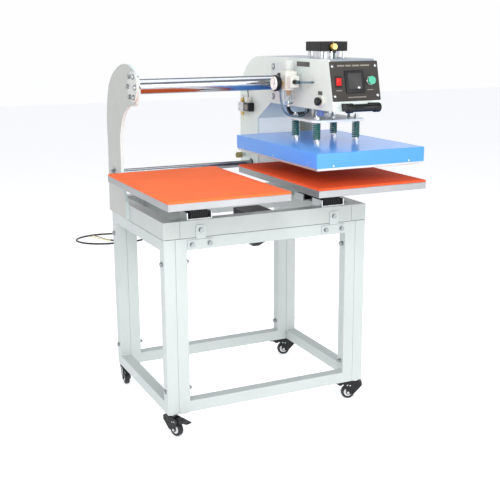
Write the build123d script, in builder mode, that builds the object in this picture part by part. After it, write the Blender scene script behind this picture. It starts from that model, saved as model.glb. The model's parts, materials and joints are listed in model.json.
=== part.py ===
from build123d import *
import math
import os

os.makedirs("parts", exist_ok=True)

# Two-station pneumatic heat press on a caster stand, in millimetres.
# X runs across the machine, Y from its front to its back, Z up.
# The origin is on the floor, under the middle of the machine.

# Driving dimensions: stand and base
CASTER_H = 75
STAND_W = 752
STAND_D = 562
STAND_H = 600
TUBE = 40
WALL = 2
BASE_H = 57
STAND_FRONT = -162.5
STAND_BACK = STAND_FRONT + STAND_D
STAND_Y = STAND_FRONT + STAND_D / 2
STAND_TOP = CASTER_H + STAND_H
BASE_TOP = STAND_TOP + BASE_H
SIDE_X = STAND_W / 2
EDGE = 2.5

# Driving dimensions: platens
PAD_W = 400
PAD_D = 600
PLATEN_X = 247.5
PLATEN_Y = -112.5
PAD_TOP = BASE_TOP + 116
PAD_T = 8
PLATEN_T = 22
PLATEN_TOP = PAD_TOP - PAD_T

# Driving dimensions: uprights and guide shafts
UPRIGHT_T = 10
SHAFT_R = 25
SHAFT_Y = 47.5
SHAFT_Z = BASE_TOP + 415
LOWER_R = 12.5
LOWER_Y = 312.5
LOWER_Z = BASE_TOP + 96
RUNNING = 0.05
HOLE = 0.2

# Driving dimensions: head, heater and press, all about the head's own axis
HEAD_X = PLATEN_X
HEAD_W = 180
PLATE_T = 8
SHEET = 2.5
HEAD_LEFT = HEAD_X - HEAD_W / 2
HEAD_RIGHT = HEAD_X + HEAD_W / 2
HEAD_BOTTOM = BASE_TOP + 337
HEAD_TOP = BASE_TOP + 500
HEAD_REAR = 412.5
NOSE_Y = -305.5
BROW_Y = -267.5
COLUMN_FRONT = 257.5
COLUMN_BOTTOM = BASE_TOP + 65
HEATER_Y = -96.5
COVER_H = 47
COVER_BOTTOM = BASE_TOP + 174.5
COVER_TOP = COVER_BOTTOM + COVER_H
CARRIER_Z = BASE_TOP + 293
CARRIER_T = 8
STUD_X = 76
STUD_Y = 75
SPRING_R = 13.5
SPRING_HOLE = 8

# Driving dimensions: end caps of the upper shaft
FLANGE_R = 51
FLANGE_T = 9
FLANGE_PITCH = 38

# Driving dimensions: fasteners
M8_R = 4
M8_FLAT = 13


def at_x(x):
    """Plane across X whose own axes run along Y and Z."""
    return Plane.YZ.offset(x)


def at_y(y):
    """Plane across Y whose own axes run along X and Z, extruding towards the front."""
    return Plane(origin=(0, y, 0), x_dir=(1, 0, 0), z_dir=(0, -1, 0))


def save(builder, name):
    """Label one finished piece and write its STEP file."""
    builder.part.label = name
    export_step(builder.part, f"parts/{name}.step")


def block(x, y, z, mode=Mode.ADD):
    """Box between the low and high values given for each axis."""
    middle = ((x[0] + x[1]) / 2, (y[0] + y[1]) / 2, (z[0] + z[1]) / 2)
    with Locations(middle):
        Box(x[1] - x[0], y[1] - y[0], z[1] - z[0], mode=mode)


def bar(start, direction, radius, length, mode=Mode.ADD):
    """Round bar that grows from start along direction."""
    with Locations(Plane(origin=start, z_dir=direction)):
        Cylinder(radius, length, align=(Align.CENTER, Align.CENTER, Align.MIN), mode=mode)


def hexagon(start, direction, flats, length):
    """Hexagonal bar of the given size across its flats."""
    with BuildSketch(Plane(origin=start, z_dir=direction)) as outline:
        RegularPolygon(flats / math.sqrt(3), 6)
    extrude(outline.sketch, amount=length)


def hex_bolt(face, outward, shank):
    """Hex head and washer on a face, with a shank of M8 going into it."""
    direction = Vector(*outward)
    base = Vector(*face)
    bar(base, direction, M8_FLAT * 0.65, 1.6)
    hexagon(base + direction * 1.6, direction, M8_FLAT, 5.3)
    bar(base - direction * shank, direction, M8_R, shank + 1)


def sweep_tube(points, radii, radius):
    """Round tube along straight runs joined by tangent arcs."""
    with BuildLine() as route:
        FilletPolyline(*points, radius=radii)
    line = route.wire()
    with BuildSketch(Plane(origin=line @ 0, z_dir=line % 0)) as section:
        Circle(radius)
    sweep(section.sketch, path=line)
    return line.length


def arc_radii(points):
    """Largest tidy radius at each corner: 0.45 of the shorter run over the tangent of half the turn."""
    radii = []
    for before, here, after in zip(points, points[1:], points[2:]):
        run_in = Vector(*here) - Vector(*before)
        run_out = Vector(*after) - Vector(*here)
        turn = math.radians(run_in.get_angle(run_out))
        radii.append(0.45 * min(run_in.length, run_out.length) / math.tan(turn / 2))
    return radii


# Stand

BOLT_HEIGHTS = (CASTER_H + 80, STAND_TOP - 82)
LEG_ROWS = (STAND_FRONT + TUBE / 2, STAND_BACK - TUBE / 2)
LEG_SPOTS = [(side * (SIDE_X - TUBE / 2), y) for y in LEG_ROWS for side in (-1, 1)]
JOIN_SPREAD = 31
PLATE_THIN = 3
JOIN_Z = (STAND_TOP - 22, STAND_TOP + 24)
STEM_R = 5


def rail_ring(plane, across, width, height, depth):
    """Hollow rectangular ring of welded square tube, grown from its plane by depth."""
    with BuildSketch(plane) as ring:
        with Locations(across):
            Rectangle(width, height)
            Rectangle(width - 2 * TUBE, height - 2 * TUBE, mode=Mode.SUBTRACT)
    extrude(ring.sketch, amount=depth)


def hollow_ring(plane, across, width, height, depth):
    """The empty inside of the tubes of a rail ring."""
    with BuildSketch(plane.offset(WALL)) as ring:
        with Locations(across):
            Rectangle(width - 2 * WALL, height - 2 * WALL)
            Rectangle(width - 2 * (TUBE - WALL), height - 2 * (TUBE - WALL), mode=Mode.SUBTRACT)
    extrude(ring.sketch, amount=depth - 2 * WALL, mode=Mode.SUBTRACT)


def side_frame(side, name):
    """Welded end frame, drilled for the frame bolts and the caster stems."""
    low_x = min(side * SIDE_X, side * (SIDE_X - TUBE))
    middle = (STAND_Y, CASTER_H + STAND_H / 2)
    with BuildPart() as frame:
        rail_ring(at_x(low_x), middle, STAND_D, STAND_H, TUBE)
        fillet(frame.edges(), radius=EDGE)
        hollow_ring(at_x(low_x), middle, STAND_D, STAND_H, TUBE)
        for y in LEG_ROWS:
            for z in BOLT_HEIGHTS:
                bar((low_x - 1, y, z), (1, 0, 0), M8_R + HOLE, TUBE + 2, Mode.SUBTRACT)
            bar((low_x + TUBE / 2, y, CASTER_H - 1), (0, 0, 1), STEM_R + HOLE, WALL + 2, Mode.SUBTRACT)
    save(frame, name)


def cross_frame(front_y):
    """Welded frame that stands between the side frames, with its own pair of legs."""
    width = STAND_W - 2 * TUBE
    middle = (0, CASTER_H + STAND_H / 2)
    plane = at_y(front_y + TUBE)
    outward = -1 if front_y < STAND_Y else 1
    face_y = front_y if outward < 0 else front_y + TUBE
    with BuildPart() as frame:
        rail_ring(plane, middle, width, STAND_H, TUBE)
        fillet(frame.edges(), radius=EDGE)
        hollow_ring(plane, middle, width, STAND_H, TUBE)
        for side in (-1, 1):
            for z in BOLT_HEIGHTS:
                start = (side * (width / 2 - TUBE / 2) - TUBE, front_y + TUBE / 2, z)
                bar(start, (1, 0, 0), M8_R + HOLE, 2 * TUBE, Mode.SUBTRACT)
            for step in (-1, 1):
                start = (side * PLATEN_X + step * JOIN_SPREAD, face_y + outward, JOIN_Z[0])
                bar(start, (0, -outward, 0), M8_R + HOLE, 8, Mode.SUBTRACT)
    return frame.part


def cross_frames():
    """The front and the rear cross frame."""
    with BuildPart() as frames:
        add(cross_frame(STAND_FRONT))
        add(cross_frame(STAND_BACK - TUBE))
    save(frames, "cross_frames")


def base_frame():
    """Box-beam frame on top of the stand, with an inner beam under the middle of each platen."""
    inner_d = STAND_D - 2 * TUBE
    with BuildPart() as frame:
        with BuildSketch(Plane.XY.offset(STAND_TOP)):
            with Locations((0, STAND_Y)):
                Rectangle(STAND_W, STAND_D)
                Rectangle(STAND_W - 2 * TUBE, inner_d, mode=Mode.SUBTRACT)
            with Locations((-PLATEN_X, STAND_Y), (PLATEN_X, STAND_Y)):
                Rectangle(TUBE, inner_d + 2)
        extrude(amount=BASE_H)
        outside = frame.edges().filter_by(Axis.Z).sort_by(SortBy.DISTANCE)[-4:]
        fillet(outside, radius=EDGE)
        with BuildSketch(Plane.XY.offset(STAND_TOP + WALL)):
            with Locations((0, STAND_Y)):
                Rectangle(STAND_W - 2 * WALL, STAND_D - 2 * WALL)
                Rectangle(STAND_W - 2 * (TUBE - WALL), inner_d + 2 * WALL, mode=Mode.SUBTRACT)
            with Locations((-PLATEN_X, STAND_Y), (PLATEN_X, STAND_Y)):
                Rectangle(TUBE - 2 * WALL, inner_d + 2 * WALL + 1)
        extrude(amount=BASE_H - 2 * WALL, mode=Mode.SUBTRACT)
        for side in (-1, 1):
            for face_y, inward in ((STAND_FRONT, 1), (STAND_BACK, -1)):
                start = (side * PLATEN_X, face_y - inward, JOIN_Z[1])
                bar(start, (0, inward, 0), M8_R + HOLE, 8, Mode.SUBTRACT)
        bar(GLAND_FACE - Vector(0, 3, 0), (0, 1, 0), GLAND_R + HOLE, 4, Mode.SUBTRACT)
    save(frame, "base_frame")


def joining_plates():
    """Four T-shaped plates that tie the base frame to the stand, two in front and two behind."""
    with BuildPart() as plates:
        for side in (-1, 1):
            for face_y, out in ((STAND_FRONT, 1), (STAND_BACK, -1)):
                x = side * PLATEN_X
                with BuildSketch(at_y(face_y)):
                    with Locations((x, JOIN_Z[0])):
                        RectangleRounded(JOIN_SPREAD * 2 + 32, 32, 5)
                    with Locations((x, JOIN_Z[1] - 6)):
                        RectangleRounded(34, 46, 5)
                    with Locations((x - JOIN_SPREAD, JOIN_Z[0]), (x + JOIN_SPREAD, JOIN_Z[0]), (x, JOIN_Z[1])):
                        Circle(M8_R + HOLE, mode=Mode.SUBTRACT)
                extrude(amount=out * PLATE_THIN)
    save(plates, "joining_plates")


def frame_bolts():
    """Screws of the stand with washers and dome nuts, of the shaft end caps, and the lower shaft's end screws."""
    with BuildPart() as bolts:
        for side in (-1, 1):
            for y in LEG_ROWS:
                for z in BOLT_HEIGHTS:
                    inner = side * (SIDE_X - 2 * TUBE)
                    hex_bolt((side * SIDE_X, y, z), (side, 0, 0), 2 * TUBE + 8)
                    bar((inner, y, z), (-side, 0, 0), M8_FLAT * 0.65, 1.6)
                    hexagon((inner - side * 1.6, y, z), (-side, 0, 0), M8_FLAT, 7)
                    with Locations((inner - side * 8.6, y, z)):
                        Sphere(M8_FLAT * 0.44)
            for face_y, out in ((STAND_FRONT - PLATE_THIN, -1), (STAND_BACK + PLATE_THIN, 1)):
                for step in (-1, 1):
                    spot = (side * PLATEN_X + step * JOIN_SPREAD, face_y, JOIN_Z[0])
                    hex_bolt(spot, (0, out, 0), PLATE_THIN + 6)
                hex_bolt((side * PLATEN_X, face_y, JOIN_Z[1]), (0, out, 0), PLATE_THIN + 6)
            for y, z in flange_spots():
                hex_bolt((side * (SIDE_X + UPRIGHT_T + FLANGE_T), y, z), (side, 0, 0), FLANGE_T + UPRIGHT_T - 1)
            end = side * (SIDE_X + UPRIGHT_T)
            bar((end, LOWER_Y, LOWER_Z), (side, 0, 0), 19, 3)
            hexagon((end + side * 3, LOWER_Y, LOWER_Z), (side, 0, 0), 24, 9)
    save(bolts, "frame_bolts")


def upright_outline():
    """Swan-necked outline of an upright in Y and Z."""
    foot, top = STAND_TOP + 5, BASE_TOP
    with BuildLine() as outline:
        Line((188, foot), (186, top + 13))
        ThreePointArc((186, top + 13), (213, top + 45), (230, top + 121))
        Line((230, top + 121), (228, top + 193))
        ThreePointArc((228, top + 193), (206, top + 281), (136, top + 340))
        ThreePointArc((136, top + 340), (100, top + 350), (64, top + 351))
        ThreePointArc((64, top + 351), (30, top + 366), (15, top + 400))
        ThreePointArc((15, top + 400), (27, top + 448), (75, top + 476))
        ThreePointArc((75, top + 476), (162, top + 485), (247, top + 465))
        ThreePointArc((247, top + 465), (301, top + 440), (343, top + 404))
        ThreePointArc((343, top + 404), (369, top + 345), (380, top + 207))
        Line((380, top + 207), (394, foot))
        Line((394, foot), (188, foot))
    make_face(outline.edges())


def upright(side, name):
    """Thick steel plate that carries both guide shafts, welded to the side of the base."""
    low_x = SIDE_X if side > 0 else -SIDE_X - UPRIGHT_T
    with BuildPart() as plate:
        with BuildSketch(at_x(low_x)):
            upright_outline()
            with Locations((SHAFT_Y, SHAFT_Z)):
                Circle(SHAFT_R + RUNNING, mode=Mode.SUBTRACT)
            with Locations((LOWER_Y, LOWER_Z)):
                Circle(LOWER_R + RUNNING, mode=Mode.SUBTRACT)
            with Locations(*flange_spots()):
                Circle(M8_R + HOLE, mode=Mode.SUBTRACT)
        extrude(amount=UPRIGHT_T)
    save(plate, name)


def flange_spots():
    """Six screw places on the shaft end flange, in Y and Z."""
    angles = [math.radians(60 * step) for step in range(6)]
    return [(SHAFT_Y + FLANGE_PITCH * math.cos(a), SHAFT_Z + FLANGE_PITCH * math.sin(a)) for a in angles]


def shaft_flanges():
    """Round cap on the outside of each upright that clamps the end of the upper shaft."""
    with BuildPart() as flanges:
        for side in (-1, 1):
            start = (side * (SIDE_X + UPRIGHT_T), SHAFT_Y, SHAFT_Z)
            out = (side, 0, 0)
            with BuildSketch(Plane(origin=start, z_dir=out)):
                Circle(FLANGE_R)
            extrude(amount=FLANGE_T)
            for y, z in flange_spots():
                bar((start[0], y, z), out, M8_R + HOLE, FLANGE_T, Mode.SUBTRACT)
        outer = flanges.faces().filter_by(Axis.X).group_by(Axis.X)
        chamfer(outer[0].edges().filter_by(lambda e: e.radius > 50), length=2)
        chamfer(outer[-1].edges().filter_by(lambda e: e.radius > 50), length=2)
    save(flanges, "shaft_flanges")


def guide_shaft(y, z, radius, name):
    """Chromed shaft between the outer faces of the uprights."""
    half = SIDE_X + UPRIGHT_T
    with BuildPart() as shaft:
        bar((-half, y, z), (1, 0, 0), radius, 2 * half)
        chamfer(shaft.edges().filter_by(GeomType.CIRCLE), length=1)
    save(shaft, name)


# Platens

BRACKET_W = 88
BRACKET_D = 68
BRACKET_T = 4
BRACKET_EAR = 24
BLOCK_YS = (-122, 12)


def platen_supports():
    """Two short upturned channels with a heat-resistant block in each, under each platen."""
    with BuildPart() as supports:
        for side in (-1, 1):
            x = side * PLATEN_X
            low, high = x - BRACKET_W / 2, x + BRACKET_W / 2
            for y in BLOCK_YS:
                ends = (y - BRACKET_D / 2, y + BRACKET_D / 2)
                block((low, high), ends, (BASE_TOP, BASE_TOP + BRACKET_T))
                block((low, low + BRACKET_T), ends, (BASE_TOP, BASE_TOP + BRACKET_EAR))
                block((high - BRACKET_T, high), ends, (BASE_TOP, BASE_TOP + BRACKET_EAR))
        for side in (-1, 1):
            for y in BLOCK_YS:
                x = side * PLATEN_X
                with BuildPart(mode=Mode.PRIVATE) as pad_block:
                    block((x - 32, x + 32), (y - 30, y + 30), (BASE_TOP + BRACKET_T, PLATEN_TOP - PLATEN_T))
                    chamfer(pad_block.edges().filter_by(Axis.Z), length=4)
                add(pad_block.part)
    save(supports, "platen_supports")


def lower_platens():
    """Two aluminium platens, each a plate with a turned-down rim."""
    with BuildPart() as platens:
        for side in (-1, 1):
            x = side * PLATEN_X
            bottom = PLATEN_TOP - PLATEN_T
            block((x - PAD_W / 2, x + PAD_W / 2), (PLATEN_Y - PAD_D / 2, PLATEN_Y + PAD_D / 2), (bottom, PLATEN_TOP))
        chamfer(platens.edges(), length=1)
        for side in (-1, 1):
            for y in (-1, 1):
                x = side * PLATEN_X
                inner_x = (x - PAD_W / 2 + 16, x + PAD_W / 2 - 16)
                if y < 0:
                    inner_y = (PLATEN_Y - PAD_D / 2 + 16, BLOCK_YS[0] - 40)
                else:
                    inner_y = (BLOCK_YS[1] + 40, PLATEN_Y + PAD_D / 2 - 16)
                block(inner_x, inner_y, (bottom - 1, bottom + 12), Mode.SUBTRACT)
    save(platens, "lower_platens")


def silicone_pads():
    """Orange silicone sheet on each platen."""
    with BuildPart() as pads:
        for side in (-1, 1):
            x = side * PLATEN_X
            half_w, half_d = PAD_W / 2 - 1, PAD_D / 2 - 1
            block((x - half_w, x + half_w), (PLATEN_Y - half_d, PLATEN_Y + half_d), (PLATEN_TOP, PAD_TOP))
        fillet(pads.edges().filter_by(Axis.Z), radius=3)
        chamfer(pads.faces().filter_by(Axis.Z).group_by(Axis.Z)[-1].edges(), length=1)
    save(pads, "silicone_pads")


# Electrical box and power cord

BOX_X = (-60, 40)
BOX_Y = (-118, 2)
BOX_TOP = BASE_TOP - 4
BOX_SHOULDER = BASE_TOP - 92
BOX_FOOT = BASE_TOP - 128
BOX_FOOT_SPOT = (-12, -72)
CORD_R = 3.5
GLAND_R = 8
GLAND_FACE = Vector(-215, STAND_BACK, BASE_TOP - 29)
GLAND_L = 24
CORD_ROUTE = [
    (-215, STAND_BACK + 24, BASE_TOP - 29),
    (-215, 457, 703),
    (-226, 488, 676),
    (-243, 498, 632),
    (-262, 470, 588),
    (-286, 436, 563),
    (-322, 414, 549),
    (-372, 409, 546),
    (-424, 432, 544),
    (-464, 478, 541),
    (-480, 540, 537),
    (-466, 603, 532),
    (-425, 655, 527),
    (-365, 682, 524),
    (-300, 676, 523),
    (-245, 640, 525),
    (-213, 583, 528),
    (-210, 520, 532),
    (-234, 466, 536),
    (-278, 436, 539),
    (-328, 444, 541),
    (-362, 480, 543),
]
CLIP_X = -347
CLIP_Y = 411.5
CLIP_Z = 547.5


def junction_box():
    """Black electrical box behind the front beam, drawn in to a narrow foot below."""
    with BuildPart() as box:
        block(BOX_X, BOX_Y, (BOX_SHOULDER, BOX_TOP))
        fillet(box.edges().filter_by(Axis.Z), radius=5)
        with BuildSketch(Plane.XY.offset(BOX_SHOULDER)):
            with Locations(((BOX_X[0] + BOX_X[1]) / 2, (BOX_Y[0] + BOX_Y[1]) / 2)):
                RectangleRounded(BOX_X[1] - BOX_X[0], BOX_Y[1] - BOX_Y[0], 5)
        with BuildSketch(Plane.XY.offset(BOX_FOOT)):
            with Locations(BOX_FOOT_SPOT):
                RectangleRounded(26, 30, 5)
        loft()
    save(box, "junction_box")


def cord_gland():
    """Cable gland in the rear beam: a threaded neck, a hexagon and a tapered dome round the cord."""
    back = (0, 1, 0)
    with BuildPart() as gland:
        bar(GLAND_FACE - Vector(0, WALL + 6, 0), back, GLAND_R, WALL + 8)
        hexagon(GLAND_FACE, back, 22, 6)
        with BuildSketch(Plane(origin=GLAND_FACE + Vector(0, 6, 0), z_dir=back)):
            Circle(10)
        with BuildSketch(Plane(origin=GLAND_FACE + Vector(0, GLAND_L, 0), z_dir=back)):
            Circle(5)
        loft()
    save(gland, "cord_gland")


def cord_clip():
    """Screwed-on nylon clip on the rear left leg that holds the cord's loop."""
    with BuildPart() as clip:
        block((CLIP_X - 4, CLIP_X + 4), (STAND_BACK, STAND_BACK + 3), (CLIP_Z - 26, CLIP_Z + 7))
        bar((CLIP_X - 4, CLIP_Y, CLIP_Z), (1, 0, 0), CORD_R + 3, 8)
        block((CLIP_X - 4, CLIP_X + 4), (STAND_BACK, CLIP_Y), (CLIP_Z - 3, CLIP_Z + 3))
        bar((CLIP_X - 5, CLIP_Y, CLIP_Z), (1, 0, 0), CORD_R + 0.6, 10, Mode.SUBTRACT)
        bar((CLIP_X, STAND_BACK + 3, CLIP_Z - 19), (0, 1, 0), 4, 3)
    save(clip, "cord_clip")


def power_cord():
    """The free stretch of the mains lead: down from the gland, through the clip and round one loose loop."""
    radii = arc_radii(CORD_ROUTE)
    with BuildPart() as cord:
        length = sweep_tube(CORD_ROUTE, radii, CORD_R)
    expected = math.pi * CORD_R**2 * length
    print("cord length", round(length, 1), "volume ratio", round(cord.part.volume / expected, 4))
    print("cord radii", [round(radius, 1) for radius in radii])
    save(cord, "power_cord")


# Casters

TRAIL = 22
WHEEL_R = 25
WHEEL_W = 20
CASTERS = {
    "front_left": (LEG_SPOTS[0], 293),
    "front_right": (LEG_SPOTS[1], 158),
    "rear_left": (LEG_SPOTS[2], 262),
    "rear_right": (LEG_SPOTS[3], 160),
}
SLOT_HALF = 12
FORK_HALF = 15
BRIDGE_Z = 61
HUB_Z = 66
RACE_Z = 71.2
PEDAL_PIVOT = (30, 58)


def caster_stems():
    """Threaded stem, race and retaining head of each caster, fixed under the side frames' legs."""
    with BuildPart() as stems:
        for x, y in LEG_SPOTS:
            bar((x, y, RACE_Z), (0, 0, 1), 17, CASTER_H - RACE_Z)
            bar((x, y, BRIDGE_Z - 4), (0, 0, 1), STEM_R, CASTER_H + 30 - BRIDGE_Z)
            bar((x, y, BRIDGE_Z - 4), (0, 0, 1), 8, 3.7)
    save(stems, "caster_stems")


def caster_plane(spot, angle):
    """Plane through a caster's swivel axis: its own axes run along the trail and up."""
    turn = math.radians(angle)
    return Plane(
        origin=(spot[0], spot[1], 0), x_dir=(math.cos(turn), math.sin(turn), 0),
        z_dir=(math.sin(turn), -math.cos(turn), 0),
    )


def caster_fork(spot, angle, name):
    """Swivel hub, two cheeks and the wheel's axle."""
    plane = caster_plane(spot, angle)
    with BuildPart() as fork:
        with BuildSketch(plane):
            Polygon(
                (-28, HUB_Z), (20, HUB_Z), (38, 63), (39, 51), (30, 38), (28, 20), (16, 18), (-2, 23), (-28, 52),
                align=None,
            )
            with Locations((TRAIL, WHEEL_R)):
                Circle(8)
        extrude(amount=FORK_HALF, both=True)
        with BuildSketch(plane):
            Polygon((-25, BRIDGE_Z), (60, BRIDGE_Z), (60, 0), (-25, 0), align=None)
            Polygon((20.5, 90), (60, 90), (60, 0), (20.5, 0), align=None)
        extrude(amount=SLOT_HALF, both=True, mode=Mode.SUBTRACT)
        bar((spot[0], spot[1], HUB_Z), (0, 0, 1), 19, RACE_Z - HUB_Z - 0.4)
        bar((spot[0], spot[1], BRIDGE_Z - 1), (0, 0, 1), STEM_R + RUNNING, 20, Mode.SUBTRACT)
        with BuildSketch(plane):
            with Locations((TRAIL, WHEEL_R)):
                Circle(4)
        extrude(amount=FORK_HALF + 1.5, both=True)
        with BuildSketch(plane):
            with Locations(PEDAL_PIVOT):
                Circle(2 + RUNNING)
        extrude(amount=FORK_HALF + 1, both=True, mode=Mode.SUBTRACT)
    save(fork, name)


def caster_wheel(spot, angle, name):
    """Rounded wheel with a dished hub on each side."""
    plane = caster_plane(spot, angle)
    with BuildPart() as wheel:
        with BuildSketch(plane):
            with Locations((TRAIL, WHEEL_R)):
                Circle(WHEEL_R)
        extrude(amount=WHEEL_W / 2, both=True)
        fillet(wheel.edges(), radius=4)
        for side in (-1, 1):
            with BuildSketch(plane.offset(side * WHEEL_W / 2)):
                with Locations((TRAIL, WHEEL_R)):
                    Circle(16)
                    Circle(7, mode=Mode.SUBTRACT)
            extrude(amount=-side * 3, mode=Mode.SUBTRACT)
        with BuildSketch(plane):
            with Locations((TRAIL, WHEEL_R)):
                Circle(4 + RUNNING)
        extrude(amount=WHEEL_W, both=True, mode=Mode.SUBTRACT)
    save(wheel, name)


def caster_pedal(spot, angle, name):
    """Brake pedal that pivots on a pin between the cheeks."""
    plane = caster_plane(spot, angle)
    with BuildPart() as pedal:
        with BuildSketch(plane):
            Polygon(
                (24, 62), (28, 66), (42, 66.5), (62, 64), (80, 63), (83, 60), (64, 58), (54, 51), (47, 51), (40, 56),
                (24, 54), align=None,
            )
            with Locations(PEDAL_PIVOT):
                Circle(4.5)
        extrude(amount=SLOT_HALF - 0.6, both=True)
        with BuildSketch(plane):
            with Locations(PEDAL_PIVOT):
                Circle(2)
        extrude(amount=FORK_HALF, both=True)
    save(pedal, name)


# Head

SLOPE = Vector(0, BROW_Y - NOSE_Y, 157).normalized()
PANEL_OUT = Vector(1, 0, 0).cross(SLOPE)
PANEL_MIDDLE = Vector(HEAD_X, NOSE_Y, HEAD_BOTTOM) + SLOPE * 97
PANEL = Plane(origin=PANEL_MIDDLE, x_dir=(1, 0, 0), z_dir=PANEL_OUT)
PANEL_W = 179
PANEL_H = 128
PANEL_T = 3
ROCKER_SPOT = (-63, -2)
START_SPOT = (53, -2)
SCREEN_SPOT = (-3.5, -3)
SIDE_BUTTON = (-234, BASE_TOP + 367)
BEARING_SPOTS = [(SHAFT_Y + a * 56, SHAFT_Z + b * 52) for a in (-1, 1) for b in (-1, 1)]
CYLINDER_R = 45
CAP_HALF = 52.5
ROD_R = 12.5
GUIDE_R = 5
GUIDE_SPOTS = [(HEAD_X - 70, HEATER_Y - 38), (HEAD_X + 70, HEATER_Y - 38)]
OUTLET_HOLE = (-175, BASE_TOP + 424)


def head_outline():
    """Outline of the head in Y and Z: arm, rounded shoulder and column."""
    web_y, rear_r = 145.5, 172.5
    brow_z = HEAD_BOTTOM + 157
    with BuildLine() as outline:
        Line((NOSE_Y, HEAD_BOTTOM), (BROW_Y, brow_z))
        ThreePointArc((BROW_Y, brow_z), (BROW_Y + 5, brow_z + 4.5), (BROW_Y + 15, HEAD_TOP))
        Line((BROW_Y + 15, HEAD_TOP), (HEAD_REAR - rear_r, HEAD_TOP))
        corner = rear_r * (1 - math.sqrt(0.5))
        shoulder = (HEAD_REAR - corner, HEAD_TOP - corner)
        ThreePointArc((HEAD_REAR - rear_r, HEAD_TOP), shoulder, (HEAD_REAR, HEAD_TOP - rear_r))
        Polyline(
            (HEAD_REAR, HEAD_TOP - rear_r), (HEAD_REAR, COLUMN_BOTTOM), (COLUMN_FRONT, COLUMN_BOTTOM),
            (COLUMN_FRONT, HEAD_BOTTOM - 65), (web_y, HEAD_BOTTOM), (NOSE_Y, HEAD_BOTTOM),
        )
    make_face(outline.edges())


def head_plate(low_x, name):
    """Side plate of the head, bored for both shafts."""
    with BuildPart() as plate:
        with BuildSketch(at_x(low_x)):
            head_outline()
            with Locations((SHAFT_Y, SHAFT_Z)):
                Circle(36, mode=Mode.SUBTRACT)
            with Locations((LOWER_Y, LOWER_Z)):
                Circle(LOWER_R + 6, mode=Mode.SUBTRACT)
            with Locations(*BEARING_SPOTS):
                Circle(M8_R + HOLE, mode=Mode.SUBTRACT)
            if low_x < HEAD_X - 50:
                with Locations(SIDE_BUTTON):
                    Circle(9, mode=Mode.SUBTRACT)
                with Locations(OUTLET_HOLE):
                    Circle(5, mode=Mode.SUBTRACT)
        extrude(amount=PLATE_T)
        long_edges = plate.faces().filter_by(Axis.X).edges().filter_by(lambda e: e.length > 60 and not e.is_closed)
        chamfer(long_edges, length=0.8)
    save(plate, name)


def shell_ring():
    """Folded sheet that follows the head's outline between the side plates."""
    with BuildSketch(at_x(HEAD_LEFT + PLATE_T)) as ring:
        head_outline()
        offset(amount=-SHEET, kind=Kind.INTERSECTION, mode=Mode.SUBTRACT)
    extrude(ring.sketch, amount=HEAD_W - 2 * PLATE_T)


def under_zone(mode):
    """Region of the arm's underside and the column's front, and of the open foot of the column."""
    low = (COLUMN_FRONT - 60, COLUMN_BOTTOM - 10)
    with BuildSketch(at_x(HEAD_LEFT - 10)) as zone:
        with BuildLine():
            Polyline(
                (NOSE_Y + 4, HEAD_BOTTOM - 10), (NOSE_Y + 4, HEAD_BOTTOM + SHEET + 0.1),
                (148, HEAD_BOTTOM + SHEET + 0.1), (COLUMN_FRONT + SHEET + 0.1, HEAD_BOTTOM - 62),
                (COLUMN_FRONT + SHEET + 0.1, COLUMN_BOTTOM - 10), low, (low[0], HEAD_BOTTOM - 60),
                (130, HEAD_BOTTOM - 10), close=True,
            )
        make_face()
    extrude(zone.sketch, amount=HEAD_W + 20, mode=mode)


def panel_holes():
    """Openings behind the control panel, from the panel's plane into the head."""
    with BuildSketch(PANEL.offset(PANEL_T + 1)) as openings:
        with Locations(ROCKER_SPOT):
            Rectangle(21, 32)
        with Locations(START_SPOT):
            Circle(9)
        with Locations(SCREEN_SPOT):
            Rectangle(64, 64)
    extrude(openings.sketch, amount=-PANEL_T - 8, mode=Mode.SUBTRACT)


def head_cover():
    """Folded sheet over the front, the top and the back of the head, open round the air cylinder."""
    with BuildPart() as cover:
        shell_ring()
        under_zone(Mode.SUBTRACT)
        foot = (COLUMN_BOTTOM - 5, COLUMN_BOTTOM + SHEET + 0.1)
        block((HEAD_LEFT, HEAD_RIGHT), (COLUMN_FRONT - 5, HEAD_REAR + 5), foot, Mode.SUBTRACT)
        half = CAP_HALF - 2
        top = (HEAD_TOP - 10, HEAD_TOP + 10)
        block((HEAD_X - half, HEAD_X + half), (HEATER_Y - half, HEATER_Y + half), top, Mode.SUBTRACT)
        panel_holes()
    save(cover, "head_cover")


def column_cover():
    """Folded sheet under the arm and down the front of the column."""
    with BuildPart() as cover:
        shell_ring()
        under_zone(Mode.INTERSECT)
        foot = (COLUMN_BOTTOM - 5, COLUMN_BOTTOM + SHEET + 0.1)
        block((HEAD_LEFT, HEAD_RIGHT), (COLUMN_FRONT - 5, HEAD_REAR + 5), foot, Mode.SUBTRACT)
        bar((HEAD_X, HEATER_Y, HEAD_BOTTOM - 5), (0, 0, 1), 30, 20, Mode.SUBTRACT)
        for x, y in GUIDE_SPOTS:
            bar((x, y, HEAD_BOTTOM - 5), (0, 0, 1), GUIDE_R + 0.5, 20, Mode.SUBTRACT)
        for x, y in LOOM_SPOTS:
            bar((x, y, HEAD_BOTTOM - 5), (0, 0, 1), LOOM_R + 1, 20, Mode.SUBTRACT)
    save(cover, "column_cover")


BEARING_T = 10


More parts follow.
